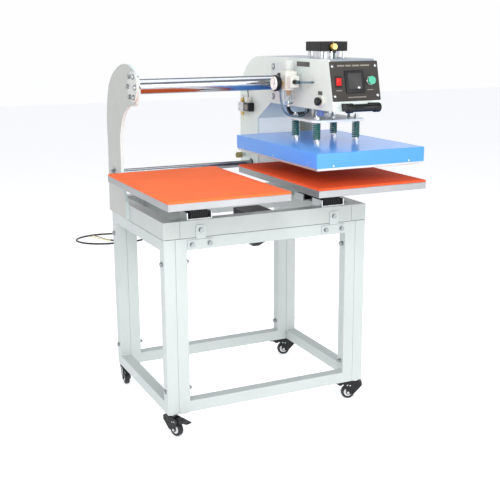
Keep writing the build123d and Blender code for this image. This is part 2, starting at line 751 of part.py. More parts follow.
def shaft_bearings():
    """Flanged linear bearing in each side plate, with its screws."""
    with BuildPart() as bearings:
        for face, out in ((HEAD_LEFT, -1), (HEAD_RIGHT, 1)):
            with BuildSketch(Plane(origin=(face, SHAFT_Y, SHAFT_Z), x_dir=(0, 1, 0), z_dir=(out, 0, 0))):
                RectangleRounded(142, 132, 20)
            extrude(amount=BEARING_T)
            bar((face - out * 40, SHAFT_Y, SHAFT_Z), (out, 0, 0), 35.8, 40 + BEARING_T + 5)
            bar((face - out * 41, SHAFT_Y, SHAFT_Z), (out, 0, 0), SHAFT_R + RUNNING, 70, Mode.SUBTRACT)
            for y, z in BEARING_SPOTS:
                hex_bolt((face + out * BEARING_T, y, z), (out, 0, 0), BEARING_T + PLATE_T)
    save(bearings, "shaft_bearings")


def lower_carriage():
    """Block in the foot of the column that runs on the lower shaft."""
    with BuildPart() as carriage:
        block((HEAD_LEFT + PLATE_T, HEAD_RIGHT - PLATE_T), (LOWER_Y - 30, LOWER_Y + 30), (LOWER_Z - 26, LOWER_Z + 26))
        bar((HEAD_LEFT, LOWER_Y, LOWER_Z), (1, 0, 0), LOWER_R + RUNNING, HEAD_W, Mode.SUBTRACT)
        chamfer(carriage.edges().filter_by(Axis.X), length=2)
    save(carriage, "lower_carriage")


BUMPER_SPOT = (372, BASE_TOP + 122)
BUMPER_L = 37


def bumpers():
    """Rubber end buffer on each side of the column, which meets the uprights at both ends of the travel."""
    y, z = BUMPER_SPOT
    with BuildPart() as buffers:
        for face, out in ((HEAD_LEFT, -1), (HEAD_RIGHT, 1)):
            bar((face, y, z), (out, 0, 0), 9, 8)
            hexagon((face + out * 8, y, z), (out, 0, 0), 16, 6)
            bar((face + out * 14, y, z), (out, 0, 0), 11, BUMPER_L - 14)
        fillet(buffers.faces().filter_by(Axis.X).group_by(Axis.X)[0].edges(), radius=5)
        fillet(buffers.faces().filter_by(Axis.X).group_by(Axis.X)[-1].edges(), radius=5)
    save(buffers, "bumpers")


CAP_TOP = BASE_TOP + 554
CAP_H = 31
LOW_CAP = (HEAD_BOTTOM + 3, HEAD_BOTTOM + 33)
BORE_R = 40
PISTON_T = 20
PISTON_TOP = CAP_TOP - CAP_H - 3


def air_cylinder():
    """Barrel, two square caps and four tie rods; the lower cap guides the rod."""
    with BuildPart() as cylinder:
        for low, high in (LOW_CAP, (CAP_TOP - CAP_H, CAP_TOP)):
            with BuildPart(mode=Mode.PRIVATE) as cap:
                x, y = HEAD_X, HEATER_Y
                block((x - CAP_HALF, x + CAP_HALF), (y - CAP_HALF, y + CAP_HALF), (low, high))
                chamfer(cap.edges().filter_by(Axis.Z), length=4)
                for a, b in ((-1, -1), (-1, 1), (1, -1), (1, 1)):
                    bar((x + a * 42, y + b * 42, low - 1), (0, 0, 1), 5, 40, Mode.SUBTRACT)
                if low == LOW_CAP[0]:
                    bar((x, y, low - 1), (0, 0, 1), ROD_R + RUNNING, 40, Mode.SUBTRACT)
            add(cap.part)
        with BuildPart(mode=Mode.PRIVATE) as barrel:
            with BuildSketch(Plane.XY.offset(LOW_CAP[1])):
                with Locations((HEAD_X, HEATER_Y)):
                    Circle(CYLINDER_R)
                    Circle(BORE_R + RUNNING, mode=Mode.SUBTRACT)
            extrude(amount=CAP_TOP - CAP_H - LOW_CAP[1])
        add(barrel.part)
        for a, b in ((-1, -1), (-1, 1), (1, -1), (1, 1)):
            with BuildPart(mode=Mode.PRIVATE) as tie:
                bar((HEAD_X + a * 42, HEATER_Y + b * 42, LOW_CAP[0]), (0, 0, 1), 4.8, CAP_TOP - LOW_CAP[0])
            add(tie.part)
    save(cylinder, "air_cylinder")


def push_fitting(start, direction, length):
    """Hexagon and collar of one push-in air fitting."""
    way = Vector(*direction)
    hexagon(Vector(*start), way, 14, 8)
    bar(Vector(*start) + way * 8, way, 6.5, length - 8)


REG_X = 114
REG_Y = -78.5
REG_LOW = BASE_TOP + 403
REG_HIGH = BASE_TOP + 458
VALVE_Y = (328, 376)
VALVE_Z = (BASE_TOP + 292, BASE_TOP + 326)
ELBOW_X = HEAD_X - 8
ELBOW_Z = CAP_TOP - 16


def air_fittings():
    """Push-in fittings on the cylinder cap, the regulator and the valve."""
    with BuildPart() as fittings:
        hexagon((ELBOW_X, HEATER_Y - CAP_HALF, ELBOW_Z), (0, -1, 0), 21, 9)
        bar((ELBOW_X, HEATER_Y - CAP_HALF - 9, ELBOW_Z), (0, -1, 0), 9.5, 10)
        bar((ELBOW_X, HEATER_Y - CAP_HALF - 12, ELBOW_Z), (0, 0, -1), 6.5, 20)
        push_fitting((REG_X - 4, REG_Y - 48, REG_LOW + 22), (0, -1, 0), 26)
        push_fitting((REG_X, REG_Y + 22, REG_LOW + 22), (0, 1, 0), 18)
        valve_x = HEAD_LEFT - 13
        push_fitting((valve_x, VALVE_Y[1] - 14, VALVE_Z[1]), (0, 0, 1), 16)
        push_fitting((valve_x, VALVE_Y[1] - 14, VALVE_Z[0]), (0, 0, -1), 14)
    save(fittings, "air_fittings")


LOOM_R = 7
LOOM_SPOTS = [(HEAD_X - 62, 0), (HEAD_X - 62, 130)]
CAP_TUBE = [
    (ELBOW_X, HEATER_Y - CAP_HALF - 12, ELBOW_Z - 20),
    (ELBOW_X, HEATER_Y - CAP_HALF - 12, HEAD_TOP),
]
OUTLET_TUBE = [
    (REG_X - 4, REG_Y - 74, REG_LOW + 22),
    (REG_X - 4, REG_Y - 90, REG_LOW + 22),
    (REG_X + 14, REG_Y - 97, REG_LOW + 21),
    (HEAD_LEFT, REG_Y - 97, REG_LOW + 21),
]
FEED_TUBE = [
    (REG_X, REG_Y + 40, REG_LOW + 22),
    (REG_X, REG_Y + 58, REG_LOW + 22),
    (REG_X + 2, REG_Y + 66, REG_LOW - 10),
    (REG_X + 4, REG_Y + 64, REG_LOW - 50),
    (REG_X + 8, REG_Y + 50, REG_LOW - 82),
    (REG_X + 22, REG_Y + 30, REG_LOW - 98),
    (REG_X + 45, REG_Y + 14, REG_LOW - 98),
    (REG_X + 68, REG_Y + 8, REG_LOW - 94),
    (REG_X + 71, REG_Y + 7, REG_LOW - 84),
    (REG_X + 71, REG_Y + 7, HEAD_BOTTOM),
]
LOOM_TUBE = [
    (HEAD_X - 62, 130, HEAD_BOTTOM),
    (HEAD_X - 62, 130, HEAD_BOTTOM - 20),
    (HEAD_X - 62, 108, HEAD_BOTTOM - 44),
    (HEAD_X - 62, 62, HEAD_BOTTOM - 48),
    (HEAD_X - 62, 14, HEAD_BOTTOM - 36),
    (HEAD_X - 62, 0, HEAD_BOTTOM - 18),
    (HEAD_X - 62, 0, HEAD_BOTTOM),
]


def one_tube(points, radius):
    """One air tube or loom as its own solid."""
    with BuildPart(mode=Mode.PRIVATE) as tube:
        if len(points) == 2:
            start, end = Vector(*points[0]), Vector(*points[1])
            bar(start, end - start, radius, (end - start).length)
        else:
            sweep_tube(points, arc_radii(points), radius)
    return tube.part


def air_tubes():
    """Air tubes on the head and the black loom under the arm."""
    with BuildPart() as tubes:
        for points, radius in ((CAP_TUBE, 4), (OUTLET_TUBE, 4), (FEED_TUBE, 4), (LOOM_TUBE, LOOM_R)):
            add(one_tube(points, radius))
    save(tubes, "air_tubes")


def regulator_body():
    """Filter-regulator body with its front port block and its bracket to the side plate."""
    with BuildPart() as body:
        block((REG_X - 22, REG_X + 22), (REG_Y - 22, REG_Y + 22), (REG_LOW, REG_HIGH))
        fillet(body.edges().filter_by(Axis.Z), radius=7)
        block((REG_X - 18, REG_X + 14), (REG_Y - 48, REG_Y - 10), (REG_LOW + 4, REG_LOW + 40))
        bar((REG_X, REG_Y, REG_HIGH - 2), (0, 0, 1), 15, 8)
        block((REG_X + 10, HEAD_LEFT), (REG_Y - 11, REG_Y + 11), (REG_LOW + 12, REG_LOW + 46))
        bar((REG_X, REG_Y, REG_HIGH - 20), (0, 0, 1), 5 + RUNNING, 40, Mode.SUBTRACT)
    save(body, "regulator_body")


KNOB_LOW = REG_HIGH + 6.4


def regulator_knob():
    """Ribbed pressure knob on its screw."""
    with BuildPart() as knob:
        with BuildSketch(Plane.XY.offset(KNOB_LOW)):
            with Locations((REG_X, REG_Y)):
                Circle(17)
                with PolarLocations(17, 20):
                    Circle(1.1, mode=Mode.SUBTRACT)
        extrude(amount=30)
        fillet(knob.faces().sort_by(Axis.Z)[-1].edges().filter_by(lambda e: e.radius > 10), radius=1)
        bar((REG_X, REG_Y, REG_HIGH - 16), (0, 0, 1), 5, 25)
    save(knob, "regulator_knob")


def filter_bowl():
    """Clear bowl under the regulator, hollow, with the filter element and the drain inside it."""
    down = (0, 0, -1)
    top = (REG_X, REG_Y, REG_LOW)
    with BuildPart() as bowl:
        bar(top, down, 20, 55)
        fillet(bowl.faces().sort_by(Axis.Z)[0].edges(), radius=13)
        with BuildPart(mode=Mode.PRIVATE) as inside:
            bar(top, down, 17.5, 52)
            fillet(inside.faces().sort_by(Axis.Z)[0].edges(), radius=11)
        add(inside.part, mode=Mode.SUBTRACT)
        with BuildPart(mode=Mode.PRIVATE) as element:
            bar((REG_X, REG_Y, REG_LOW), (0, 0, -1), 9, 26)
        add(element.part)
        with BuildPart(mode=Mode.PRIVATE) as drain:
            bar((REG_X, REG_Y, REG_LOW - 55), (0, 0, -1), 5, 8)
        add(drain.part)
    save(bowl, "filter_bowl")


GAUGE_FACE = 56
GAUGE_Z = BASE_TOP + 420
GAUGE_R = 22


def pressure_gauge():
    """Gauge case with its flange and stem, the dial inside it and the lens over it."""
    start = (GAUGE_FACE, REG_Y, GAUGE_Z)
    inward = (1, 0, 0)
    with BuildPart() as gauge:
        bar(start, inward, GAUGE_R, 22)
        bar((GAUGE_FACE + 5, REG_Y, GAUGE_Z), inward, GAUGE_R + 5, 3)
        bar((GAUGE_FACE + 22, REG_Y, GAUGE_Z), inward, 7, REG_X - 22 - GAUGE_FACE - 22)
        bar(start, inward, GAUGE_R - 2, 8, Mode.SUBTRACT)
        with BuildPart(mode=Mode.PRIVATE) as dial:
            bar((GAUGE_FACE + 6.8, REG_Y, GAUGE_Z), inward, GAUGE_R - 2, 1.2)
            bar((GAUGE_FACE + 3.6, REG_Y, GAUGE_Z), inward, 1, 4)
        add(dial.part)
        with BuildPart(mode=Mode.PRIVATE) as lens:
            bar((GAUGE_FACE + 0.6, REG_Y, GAUGE_Z), inward, GAUGE_R - 2, 1.6)
        add(lens.part)
    save(gauge, "pressure_gauge")


def gauge_needle():
    """Pointer of the gauge on its small hub."""
    with BuildPart() as needle:
        with BuildSketch(Plane(origin=(GAUGE_FACE + 4.8, REG_Y, GAUGE_Z), x_dir=(0, 1, 0), z_dir=(-1, 0, 0))):
            Circle(3)
            Polygon((-1.2, 0), (1.2, 0), (0.4, -16), (-0.4, -16), align=None)
            Rectangle(2, 8)
            Circle(1 + RUNNING, mode=Mode.SUBTRACT)
        extrude(amount=0.8)
    save(needle, "gauge_needle")


def solenoid_valve():
    """Silver valve body, black coil and white connector on the left side of the column."""
    out = 25
    with BuildPart() as valve:
        block((HEAD_LEFT - out, HEAD_LEFT), VALVE_Y, VALVE_Z)
        fillet(valve.edges().filter_by(Axis.X), radius=4)
        with BuildPart(mode=Mode.PRIVATE) as coil:
            block((HEAD_LEFT - out, HEAD_LEFT - 1), (VALVE_Y[0] - 44, VALVE_Y[0]), (VALVE_Z[0] + 3, VALVE_Z[1] + 1))
            fillet(coil.edges().filter_by(Axis.Y), radius=3)
        add(coil.part)
        with BuildPart(mode=Mode.PRIVATE) as plug:
            top = VALVE_Z[1] + 1
            block((HEAD_LEFT - 21, HEAD_LEFT - 4), (VALVE_Y[0] - 26, VALVE_Y[0] - 8), (top, top + 20))
        add(plug.part)
    save(valve, "solenoid_valve")


def control_panel():
    """Dark front plate on the sloping face of the head, with its four screws."""
    with BuildPart() as panel:
        with BuildSketch(PANEL):
            RectangleRounded(PANEL_W, PANEL_H, 3)
            with Locations(ROCKER_SPOT):
                Rectangle(21, 32, mode=Mode.SUBTRACT)
            with Locations(START_SPOT):
                Circle(9, mode=Mode.SUBTRACT)
            with Locations(SCREEN_SPOT):
                Rectangle(64, 64, mode=Mode.SUBTRACT)
        extrude(amount=PANEL_T)
        with BuildSketch(PANEL.offset(PANEL_T)):
            with Locations(*[(a * 80, b * 48) for a in (-1, 1) for b in (-1, 1)]):
                Circle(4.5)
        extrude(amount=2)
    save(panel, "control_panel")


def touch_screen():
    """Square touch display with a raised bezel, set through the panel."""
    with BuildPart() as screen:
        with BuildSketch(PANEL.offset(PANEL_T)):
            with Locations(SCREEN_SPOT):
                RectangleRounded(70, 72, 3)
        extrude(amount=5)
        chamfer(screen.edges().group_by(SortBy.LENGTH)[-1], length=0.8)
        with BuildSketch(PANEL.offset(PANEL_T + 5)):
            with Locations((SCREEN_SPOT[0], SCREEN_SPOT[1] + 2)):
                Rectangle(50, 50)
        extrude(amount=-1, mode=Mode.SUBTRACT)
        with BuildSketch(PANEL.offset(PANEL_T)):
            with Locations(SCREEN_SPOT):
                Rectangle(62, 62)
        extrude(amount=-10)
    save(screen, "touch_screen")


def button_bezels():
    """Rocker frame, chromed start-button ring and white side-button ring."""
    with BuildPart() as bezels:
        with BuildSketch(PANEL.offset(PANEL_T)):
            with Locations(ROCKER_SPOT):
                RectangleRounded(25, 37, 2)
                Rectangle(18.6, 28.6, mode=Mode.SUBTRACT)
        extrude(amount=2)
        with BuildSketch(PANEL.offset(PANEL_T)):
            with Locations(START_SPOT):
                Circle(13.8)
                Circle(8.3, mode=Mode.SUBTRACT)
        extrude(amount=8)
        with BuildSketch(Plane(origin=(HEAD_LEFT, SIDE_BUTTON[0], SIDE_BUTTON[1]), z_dir=(-1, 0, 0))):
            Circle(17)
            Circle(8.3, mode=Mode.SUBTRACT)
        extrude(amount=9)
    save(bezels, "button_bezels")


def rocker_switch():
    """Red rocker whose lower half is pressed in."""
    middle = PANEL_MIDDLE + Vector(ROCKER_SPOT[0] - 9, 0, 0) + SLOPE * ROCKER_SPOT[1] + PANEL_OUT * (PANEL_T + 1)
    side = Plane(origin=middle, x_dir=SLOPE, z_dir=(1, 0, 0))
    with BuildPart() as rocker:
        with BuildSketch(side):
            Polygon((11.6, -3.4), (11.5, 5.5), (-0.2, 1.5), (-12.4, 2.2), (-10.5, -6.5), align=None)
            Circle(3)
        extrude(amount=18)
    save(rocker, "rocker_switch")


def push_button(plane, base, cap_r, cap_h, name):
    """Round cap on a stem; its plane is the mounting face."""
    with BuildPart() as button:
        with BuildSketch(plane.offset(base)):
            Circle(cap_r)
        extrude(amount=cap_h)
        fillet(button.edges(), radius=2.5)
        with BuildSketch(plane.offset(-12)):
            Circle(8)
        extrude(amount=base + 13)
    save(button, name)


def handle():
    """Round bar handle between two bulged end mounts on the front of the head."""
    y, z = NOSE_Y - 30, HEAD_BOTTOM + 13
    half = 64
    with BuildPart() as grip:
        bar((HEAD_X - half + 6, y, z), (1, 0, 0), 12.5, 2 * half - 12)
        for side in (-1, 1):
            x = HEAD_X + side * (half - 14)
            block((x - 9, x + 9), (y, NOSE_Y + 6), (z - 11, z + 13))
            with BuildPart(mode=Mode.PRIVATE) as mount:
                bar((x - 13, y, z), (1, 0, 0), 15.5, 26)
                fillet(mount.edges().filter_by(GeomType.CIRCLE), radius=5)
            add(mount.part)
        with BuildSketch(at_x(HEAD_X - 100)):
            head_outline()
        extrude(amount=200, mode=Mode.SUBTRACT)
    save(grip, "handle")


# Press and heater

def press_rods():
    """Piston with its rod and the two guide rods beside it."""
    with BuildPart() as rods:
        top = CARRIER_Z + CARRIER_T
        bar((HEAD_X, HEATER_Y, top), (0, 0, 1), ROD_R, PISTON_TOP - top)
        bar((HEAD_X, HEATER_Y, PISTON_TOP - PISTON_T), (0, 0, 1), BORE_R, PISTON_T)
        hexagon((HEAD_X, HEATER_Y, top), (0, 0, 1), 36, 14)
        for x, y in GUIDE_SPOTS:
            bar((x, y, top), (0, 0, 1), GUIDE_R, HEAD_BOTTOM + 60 - top)
    save(rods, "press_rods")


def carrier_plate():
    """Thick plate under the piston rod, with clearance holes for the four studs and its own screws."""
    with BuildPart() as carrier:
        with BuildSketch(Plane.XY.offset(CARRIER_Z)):
            with Locations((HEAD_X, HEATER_Y)):
                Rectangle(200, 200)
            with Locations(*[(HEAD_X + a * STUD_X, HEATER_Y + b * STUD_Y) for a in (-1, 1) for b in (-1, 1)]):
                Circle(5.5, mode=Mode.SUBTRACT)
        extrude(amount=CARRIER_T)
        chamfer(carrier.edges().filter_by(Axis.Z).filter_by(lambda e: e.geom_type == GeomType.LINE), length=12)
        chamfer(carrier.faces().sort_by(Axis.Z)[-1].edges().filter_by(GeomType.LINE), length=0.8)
        hexagon((HEAD_X, HEATER_Y, CARRIER_Z - 9), (0, 0, 1), 24, 9)
        for y in (-1, 1):
            hexagon((HEAD_X, HEATER_Y + y * 52, CARRIER_Z + CARRIER_T), (0, 0, 1), 15, 7)
    save(carrier, "carrier_plate")


def heater_cover():
    """Blue sheet-steel tray over the heating plate, open below."""
    half_w, half_d = PAD_W / 2, PAD_D / 2
    with BuildPart() as cover:
        x, y = (HEAD_X - half_w, HEAD_X + half_w), (HEATER_Y - half_d, HEATER_Y + half_d)
        block(x, y, (COVER_BOTTOM, COVER_TOP))
        fillet(cover.edges().filter_by(Axis.Z), radius=3)
        fillet(cover.faces().sort_by(Axis.Z)[-1].edges(), radius=2)
        inner_x, inner_y = (x[0] + 1.5, x[1] - 1.5), (y[0] + 1.5, y[1] - 1.5)
        block(inner_x, inner_y, (COVER_BOTTOM - 1, COVER_TOP - 2), Mode.SUBTRACT)
    save(cover, "heater_cover")


HEAT_PLATE_Z = (PAD_TOP + 50.4, COVER_BOTTOM + 12)


def heating_plate():
    """Cast aluminium plate with the heating element inside it."""
    half_w, half_d = PAD_W / 2 - 3, PAD_D / 2 - 3
    with BuildPart() as plate:
        x, y = (HEAD_X - half_w, HEAD_X + half_w), (HEATER_Y - half_d, HEATER_Y + half_d)
        block(x, y, HEAT_PLATE_Z)
        chamfer(plate.edges(), length=1.2)
        for a in (-1, 1):
            for b in (-1, 1):
                start = (HEAD_X + a * STUD_X, HEATER_Y + b * STUD_Y, HEAT_PLATE_Z[1])
                bar(start, (0, 0, 1), 9, COVER_TOP - 2 - HEAT_PLATE_Z[1])
    save(plate, "heating_plate")


SPRING_LOW = COVER_TOP + 11


def heater_studs():
    """Four studs that hang the heater from the carrier plate, with base nuts, washers and top nuts."""
    top = CARRIER_Z + CARRIER_T + 0.3
    with BuildPart() as studs:
        for a in (-1, 1):
            for b in (-1, 1):
                x, y = HEAD_X + a * STUD_X, HEATER_Y + b * STUD_Y
                bar((x, y, COVER_TOP), (0, 0, 1), 5, top + 15 - COVER_TOP)
                hexagon((x, y, COVER_TOP), (0, 0, 1), 17, 8)
                bar((x, y, COVER_TOP + 8), (0, 0, 1), SPRING_R - 0.5, 3)
                hexagon((x, y, top), (0, 0, 1), 17, 9)
    save(studs, "heater_studs")


def springs():
    """Outer shape of the four green die springs."""
    with BuildPart() as sleeves:
        with BuildSketch(Plane.XY.offset(SPRING_LOW)):
            with Locations(*[(HEAD_X + a * STUD_X, HEATER_Y + b * STUD_Y) for a in (-1, 1) for b in (-1, 1)]):
                Circle(SPRING_R)
                Circle(SPRING_HOLE, mode=Mode.SUBTRACT)
        extrude(amount=CARRIER_Z - SPRING_LOW)
    save(sleeves, "springs")


def build_stand():
    """Everything that stays still, and the casters."""
    side_frame(-1, "left_side_frame")
    side_frame(1, "right_side_frame")
    cross_frames()
    base_frame()
    joining_plates()
    frame_bolts()
    upright(-1, "left_upright")
    upright(1, "right_upright")
    guide_shaft(SHAFT_Y, SHAFT_Z, SHAFT_R, "upper_shaft")
    guide_shaft(LOWER_Y, LOWER_Z, LOWER_R, "lower_shaft")
    shaft_flanges()
    platen_supports()
    lower_platens()
    silicone_pads()
    junction_box()
    cord_gland()
    cord_clip()
    power_cord()
    caster_stems()
    for name, (spot, angle) in CASTERS.items():
        caster_fork(spot, angle, f"{name}_fork")
        caster_wheel(spot, angle, f"{name}_wheel")
        caster_pedal(spot, angle, f"{name}_pedal")


def build_head():
    """Everything that slides along the shafts."""
    head_plate(HEAD_LEFT, "head_left_plate")
    head_plate(HEAD_RIGHT - PLATE_T, "head_right_plate")
    head_cover()
    column_cover()
    shaft_bearings()
    lower_carriage()
    bumpers()
    air_cylinder()
    air_fittings()
    air_tubes()
    regulator_body()
    regulator_knob()
    filter_bowl()
    pressure_gauge()
    gauge_needle()
    solenoid_valve()
    control_panel()
    touch_screen()
    button_bezels()
    rocker_switch()
    start_plane = Plane(PANEL_MIDDLE + Vector(START_SPOT[0], 0, 0) + SLOPE * START_SPOT[1], z_dir=PANEL_OUT)
    push_button(start_plane, PANEL_T + 12.5, 13.5, 7, "start_button")
    side_plane = Plane(origin=(HEAD_LEFT, SIDE_BUTTON[0], SIDE_BUTTON[1]), z_dir=(-1, 0, 0))
    push_button(side_plane, 13.5, 13.5, 12, "side_button")
    handle()


def build_press():
    """Everything that moves down onto the work."""
    press_rods()
    carrier_plate()
    heater_cover()
    heating_plate()
    heater_studs()
    springs()


build_stand()
build_head()
build_press()
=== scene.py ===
import bpy
import bmesh
import json
import math
from mathutils import Matrix, Vector

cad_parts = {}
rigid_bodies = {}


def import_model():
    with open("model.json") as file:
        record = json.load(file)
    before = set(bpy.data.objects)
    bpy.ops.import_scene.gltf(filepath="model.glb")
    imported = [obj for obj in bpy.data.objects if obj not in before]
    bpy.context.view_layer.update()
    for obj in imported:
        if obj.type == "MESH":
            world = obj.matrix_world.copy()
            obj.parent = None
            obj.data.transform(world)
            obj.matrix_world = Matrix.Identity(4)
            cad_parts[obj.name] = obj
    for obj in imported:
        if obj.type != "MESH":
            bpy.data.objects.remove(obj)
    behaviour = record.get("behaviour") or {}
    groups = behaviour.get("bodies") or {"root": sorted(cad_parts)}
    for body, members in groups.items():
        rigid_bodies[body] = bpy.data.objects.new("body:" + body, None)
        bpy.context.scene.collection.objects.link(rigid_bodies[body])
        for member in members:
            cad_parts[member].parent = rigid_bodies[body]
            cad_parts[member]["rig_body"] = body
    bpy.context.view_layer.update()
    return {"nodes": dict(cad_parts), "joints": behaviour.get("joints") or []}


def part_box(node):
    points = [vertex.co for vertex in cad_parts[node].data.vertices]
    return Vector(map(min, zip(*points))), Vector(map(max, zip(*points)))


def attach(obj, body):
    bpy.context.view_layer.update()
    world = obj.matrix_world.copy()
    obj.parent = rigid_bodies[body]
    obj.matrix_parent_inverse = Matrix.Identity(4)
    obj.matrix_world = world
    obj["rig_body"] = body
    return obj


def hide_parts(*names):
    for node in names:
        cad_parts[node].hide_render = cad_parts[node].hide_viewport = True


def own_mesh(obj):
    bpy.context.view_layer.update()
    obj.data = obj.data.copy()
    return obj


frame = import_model()
NODES = frame["nodes"]


def mm(*values):
    """A point or size given in millimetres, in metres."""
    return Vector([v / 1000 for v in values])


# Camera and cord

def camera():
    """Camera at the photograph's viewing angle."""
    data = bpy.data.cameras.new("camera")
    data.lens = 65.0
    data.clip_end = 50
    cam = bpy.data.objects.new("camera", data)
    bpy.context.scene.collection.objects.link(cam)
    turn = Matrix.Rotation(math.radians(-25), 4, "Z")
    tilt = Matrix.Rotation(math.radians(90 - 13.7), 4, "X")
    roll = Matrix.Rotation(math.radians(-0.34), 4, "Z")
    cam.matrix_world = Matrix.Translation((-1.307, -2.811, 1.325)) @ turn @ tilt @ roll
    bpy.context.scene.camera = cam


camera()

CORD_ROUTE = [
    (-215, 423.5, 703), (-215, 457, 703), (-226, 488, 676), (-243, 498, 632), (-262, 470, 588),
    (-286, 436, 563), (-322, 414, 549), (-372, 409, 546), (-424, 432, 544), (-464, 478, 541),
    (-480, 540, 537), (-466, 603, 532), (-425, 655, 527), (-365, 682, 524), (-300, 676, 523),
    (-245, 640, 525), (-213, 583, 528), (-210, 520, 532), (-234, 466, 536), (-278, 436, 539),
    (-328, 444, 541), (-362, 480, 543),
]


# Materials: every one varies in colour, roughness and relief

def new_material(name):
    """Empty material with its node tree and shader."""
    mat = bpy.data.materials.new(name)
    mat.use_nodes = True
    tree = mat.node_tree
    shader = tree.nodes["Principled BSDF"]
    return mat, tree, shader


def put(tree, node, values):
    """Set a node's inputs by name: a socket is linked, and anything else is a plain value."""
    for name, value in values.items():
        socket = node.inputs[name]
        if isinstance(value, bpy.types.NodeSocket):
            tree.links.new(value, socket)
        elif socket.type == "RGBA":
            socket.default_value = (*value, 1)
        else:
            socket.default_value = value


def noise(tree, scale, detail=3.0, stretch=None, rough=0.55):
    """Noise in the object's own metres, optionally stretched along an axis."""
    place = tree.nodes.new("ShaderNodeTexCoord").outputs["Object"]
    if stretch:
        mapping = tree.nodes.new("ShaderNodeMapping")
        put(tree, mapping, {"Vector": place, "Scale": stretch})
        place = mapping.outputs["Vector"]
    tex = tree.nodes.new("ShaderNodeTexNoise")
    put(tree, tex, {"Vector": place, "Scale": scale, "Detail": detail, "Roughness": rough})
    return tex.outputs["Fac"]


def spread(tree, source, low, high, start=0.3, end=0.7):
    """Noise value mapped to a range."""
    node = tree.nodes.new("ShaderNodeMapRange")
    put(tree, node, {"Value": source, "From Min": start, "From Max": end, "To Min": low, "To Max": high})
    return node.outputs["Result"]


def mix(tree, factor, first, second):
    """Colour mix of two colours or sockets by a factor socket."""
    node = tree.nodes.new("ShaderNodeMix")
    node.data_type = "RGBA"
    put(tree, node, {"Factor": factor, "A": first, "B": second})
    return node.outputs["Result"]


def bump(tree, shader, source, depth):
    """Relief of a given depth in metres."""
    node = tree.nodes.new("ShaderNodeBump")
    put(tree, node, {"Height": source, "Distance": depth})
    put(tree, shader, {"Normal": node.outputs["Normal"]})


def shade(rgb, factor):
    """Colour made lighter or darker by a factor."""
    return tuple(min(1.0, c * factor) for c in rgb)


def surface(name, rgb, rough, metal=0.0, vary=0.05, cloud=4.0, grain=500, depth=0.00004, stretch=None,
            rough_vary=0.04, coat=0.0, specular=0.5, speck=0.0, speck_rgb=(0.3, 0.28, 0.25)):
    """General painted, moulded or metal surface: clouded colour, uneven gloss and a fine relief."""
    mat, tree, shader = new_material(name)
    clouds = spread(tree, noise(tree, cloud, 4.0), 0.0, 1.0)
    colour = mix(tree, clouds, shade(rgb, 1 - vary), shade(rgb, 1 + vary))
    fine = noise(tree, grain, 2.0, stretch)
    colour = mix(tree, spread(tree, fine, 0.0, 0.12), colour, shade(rgb, 0.8))
    if speck:
        dots = spread(tree, noise(tree, 90.0, 3.0, rough=0.7), 0.0, speck, 0.66, 0.76)
        colour = mix(tree, dots, colour, speck_rgb)
    gloss = spread(tree, noise(tree, cloud * 5, 5.0, stretch), rough - rough_vary, rough + rough_vary)
    put(tree, shader, {"Base Color": colour, "Roughness": gloss, "Metallic": metal,
                       "Specular IOR Level": specular, "Coat Weight": coat, "Coat Roughness": 0.15})
    bump(tree, shader, fine, depth)
    return mat


def clear(name, rgb, rough=0.05, ior=1.49):
    """Clear plastic or glass with faint smears."""
    mat, tree, shader = new_material(name)
    smear = spread(tree, noise(tree, 30.0, 4.0), 0.0, 1.0)
    gloss = spread(tree, noise(tree, 60.0, 3.0), rough, rough + 0.08)
    put(tree, shader, {"Base Color": mix(tree, smear, shade(rgb, 0.95), rgb), "Roughness": gloss,
                       "Transmission Weight": 1.0, "IOR": ior})
    bump(tree, shader, noise(tree, 150.0, 2.0), 0.00002)
    return mat


def thin_clear(name):
    """Thin clear window: mostly see-through, with a gloss and faint dust."""
    mat, tree, shader = new_material(name)
    dust = spread(tree, noise(tree, 120.0, 4.0), 0.0, 1.0)
    gloss = spread(tree, noise(tree, 60.0, 3.0), 0.04, 0.10)
    cover = spread(tree, noise(tree, 90.0, 3.0), 0.08, 0.14)
    put(tree, shader, {"Base Color": mix(tree, dust, (0.85, 0.86, 0.88), (0.95, 0.95, 0.95)),
                       "Roughness": gloss, "Alpha": cover})
    return mat


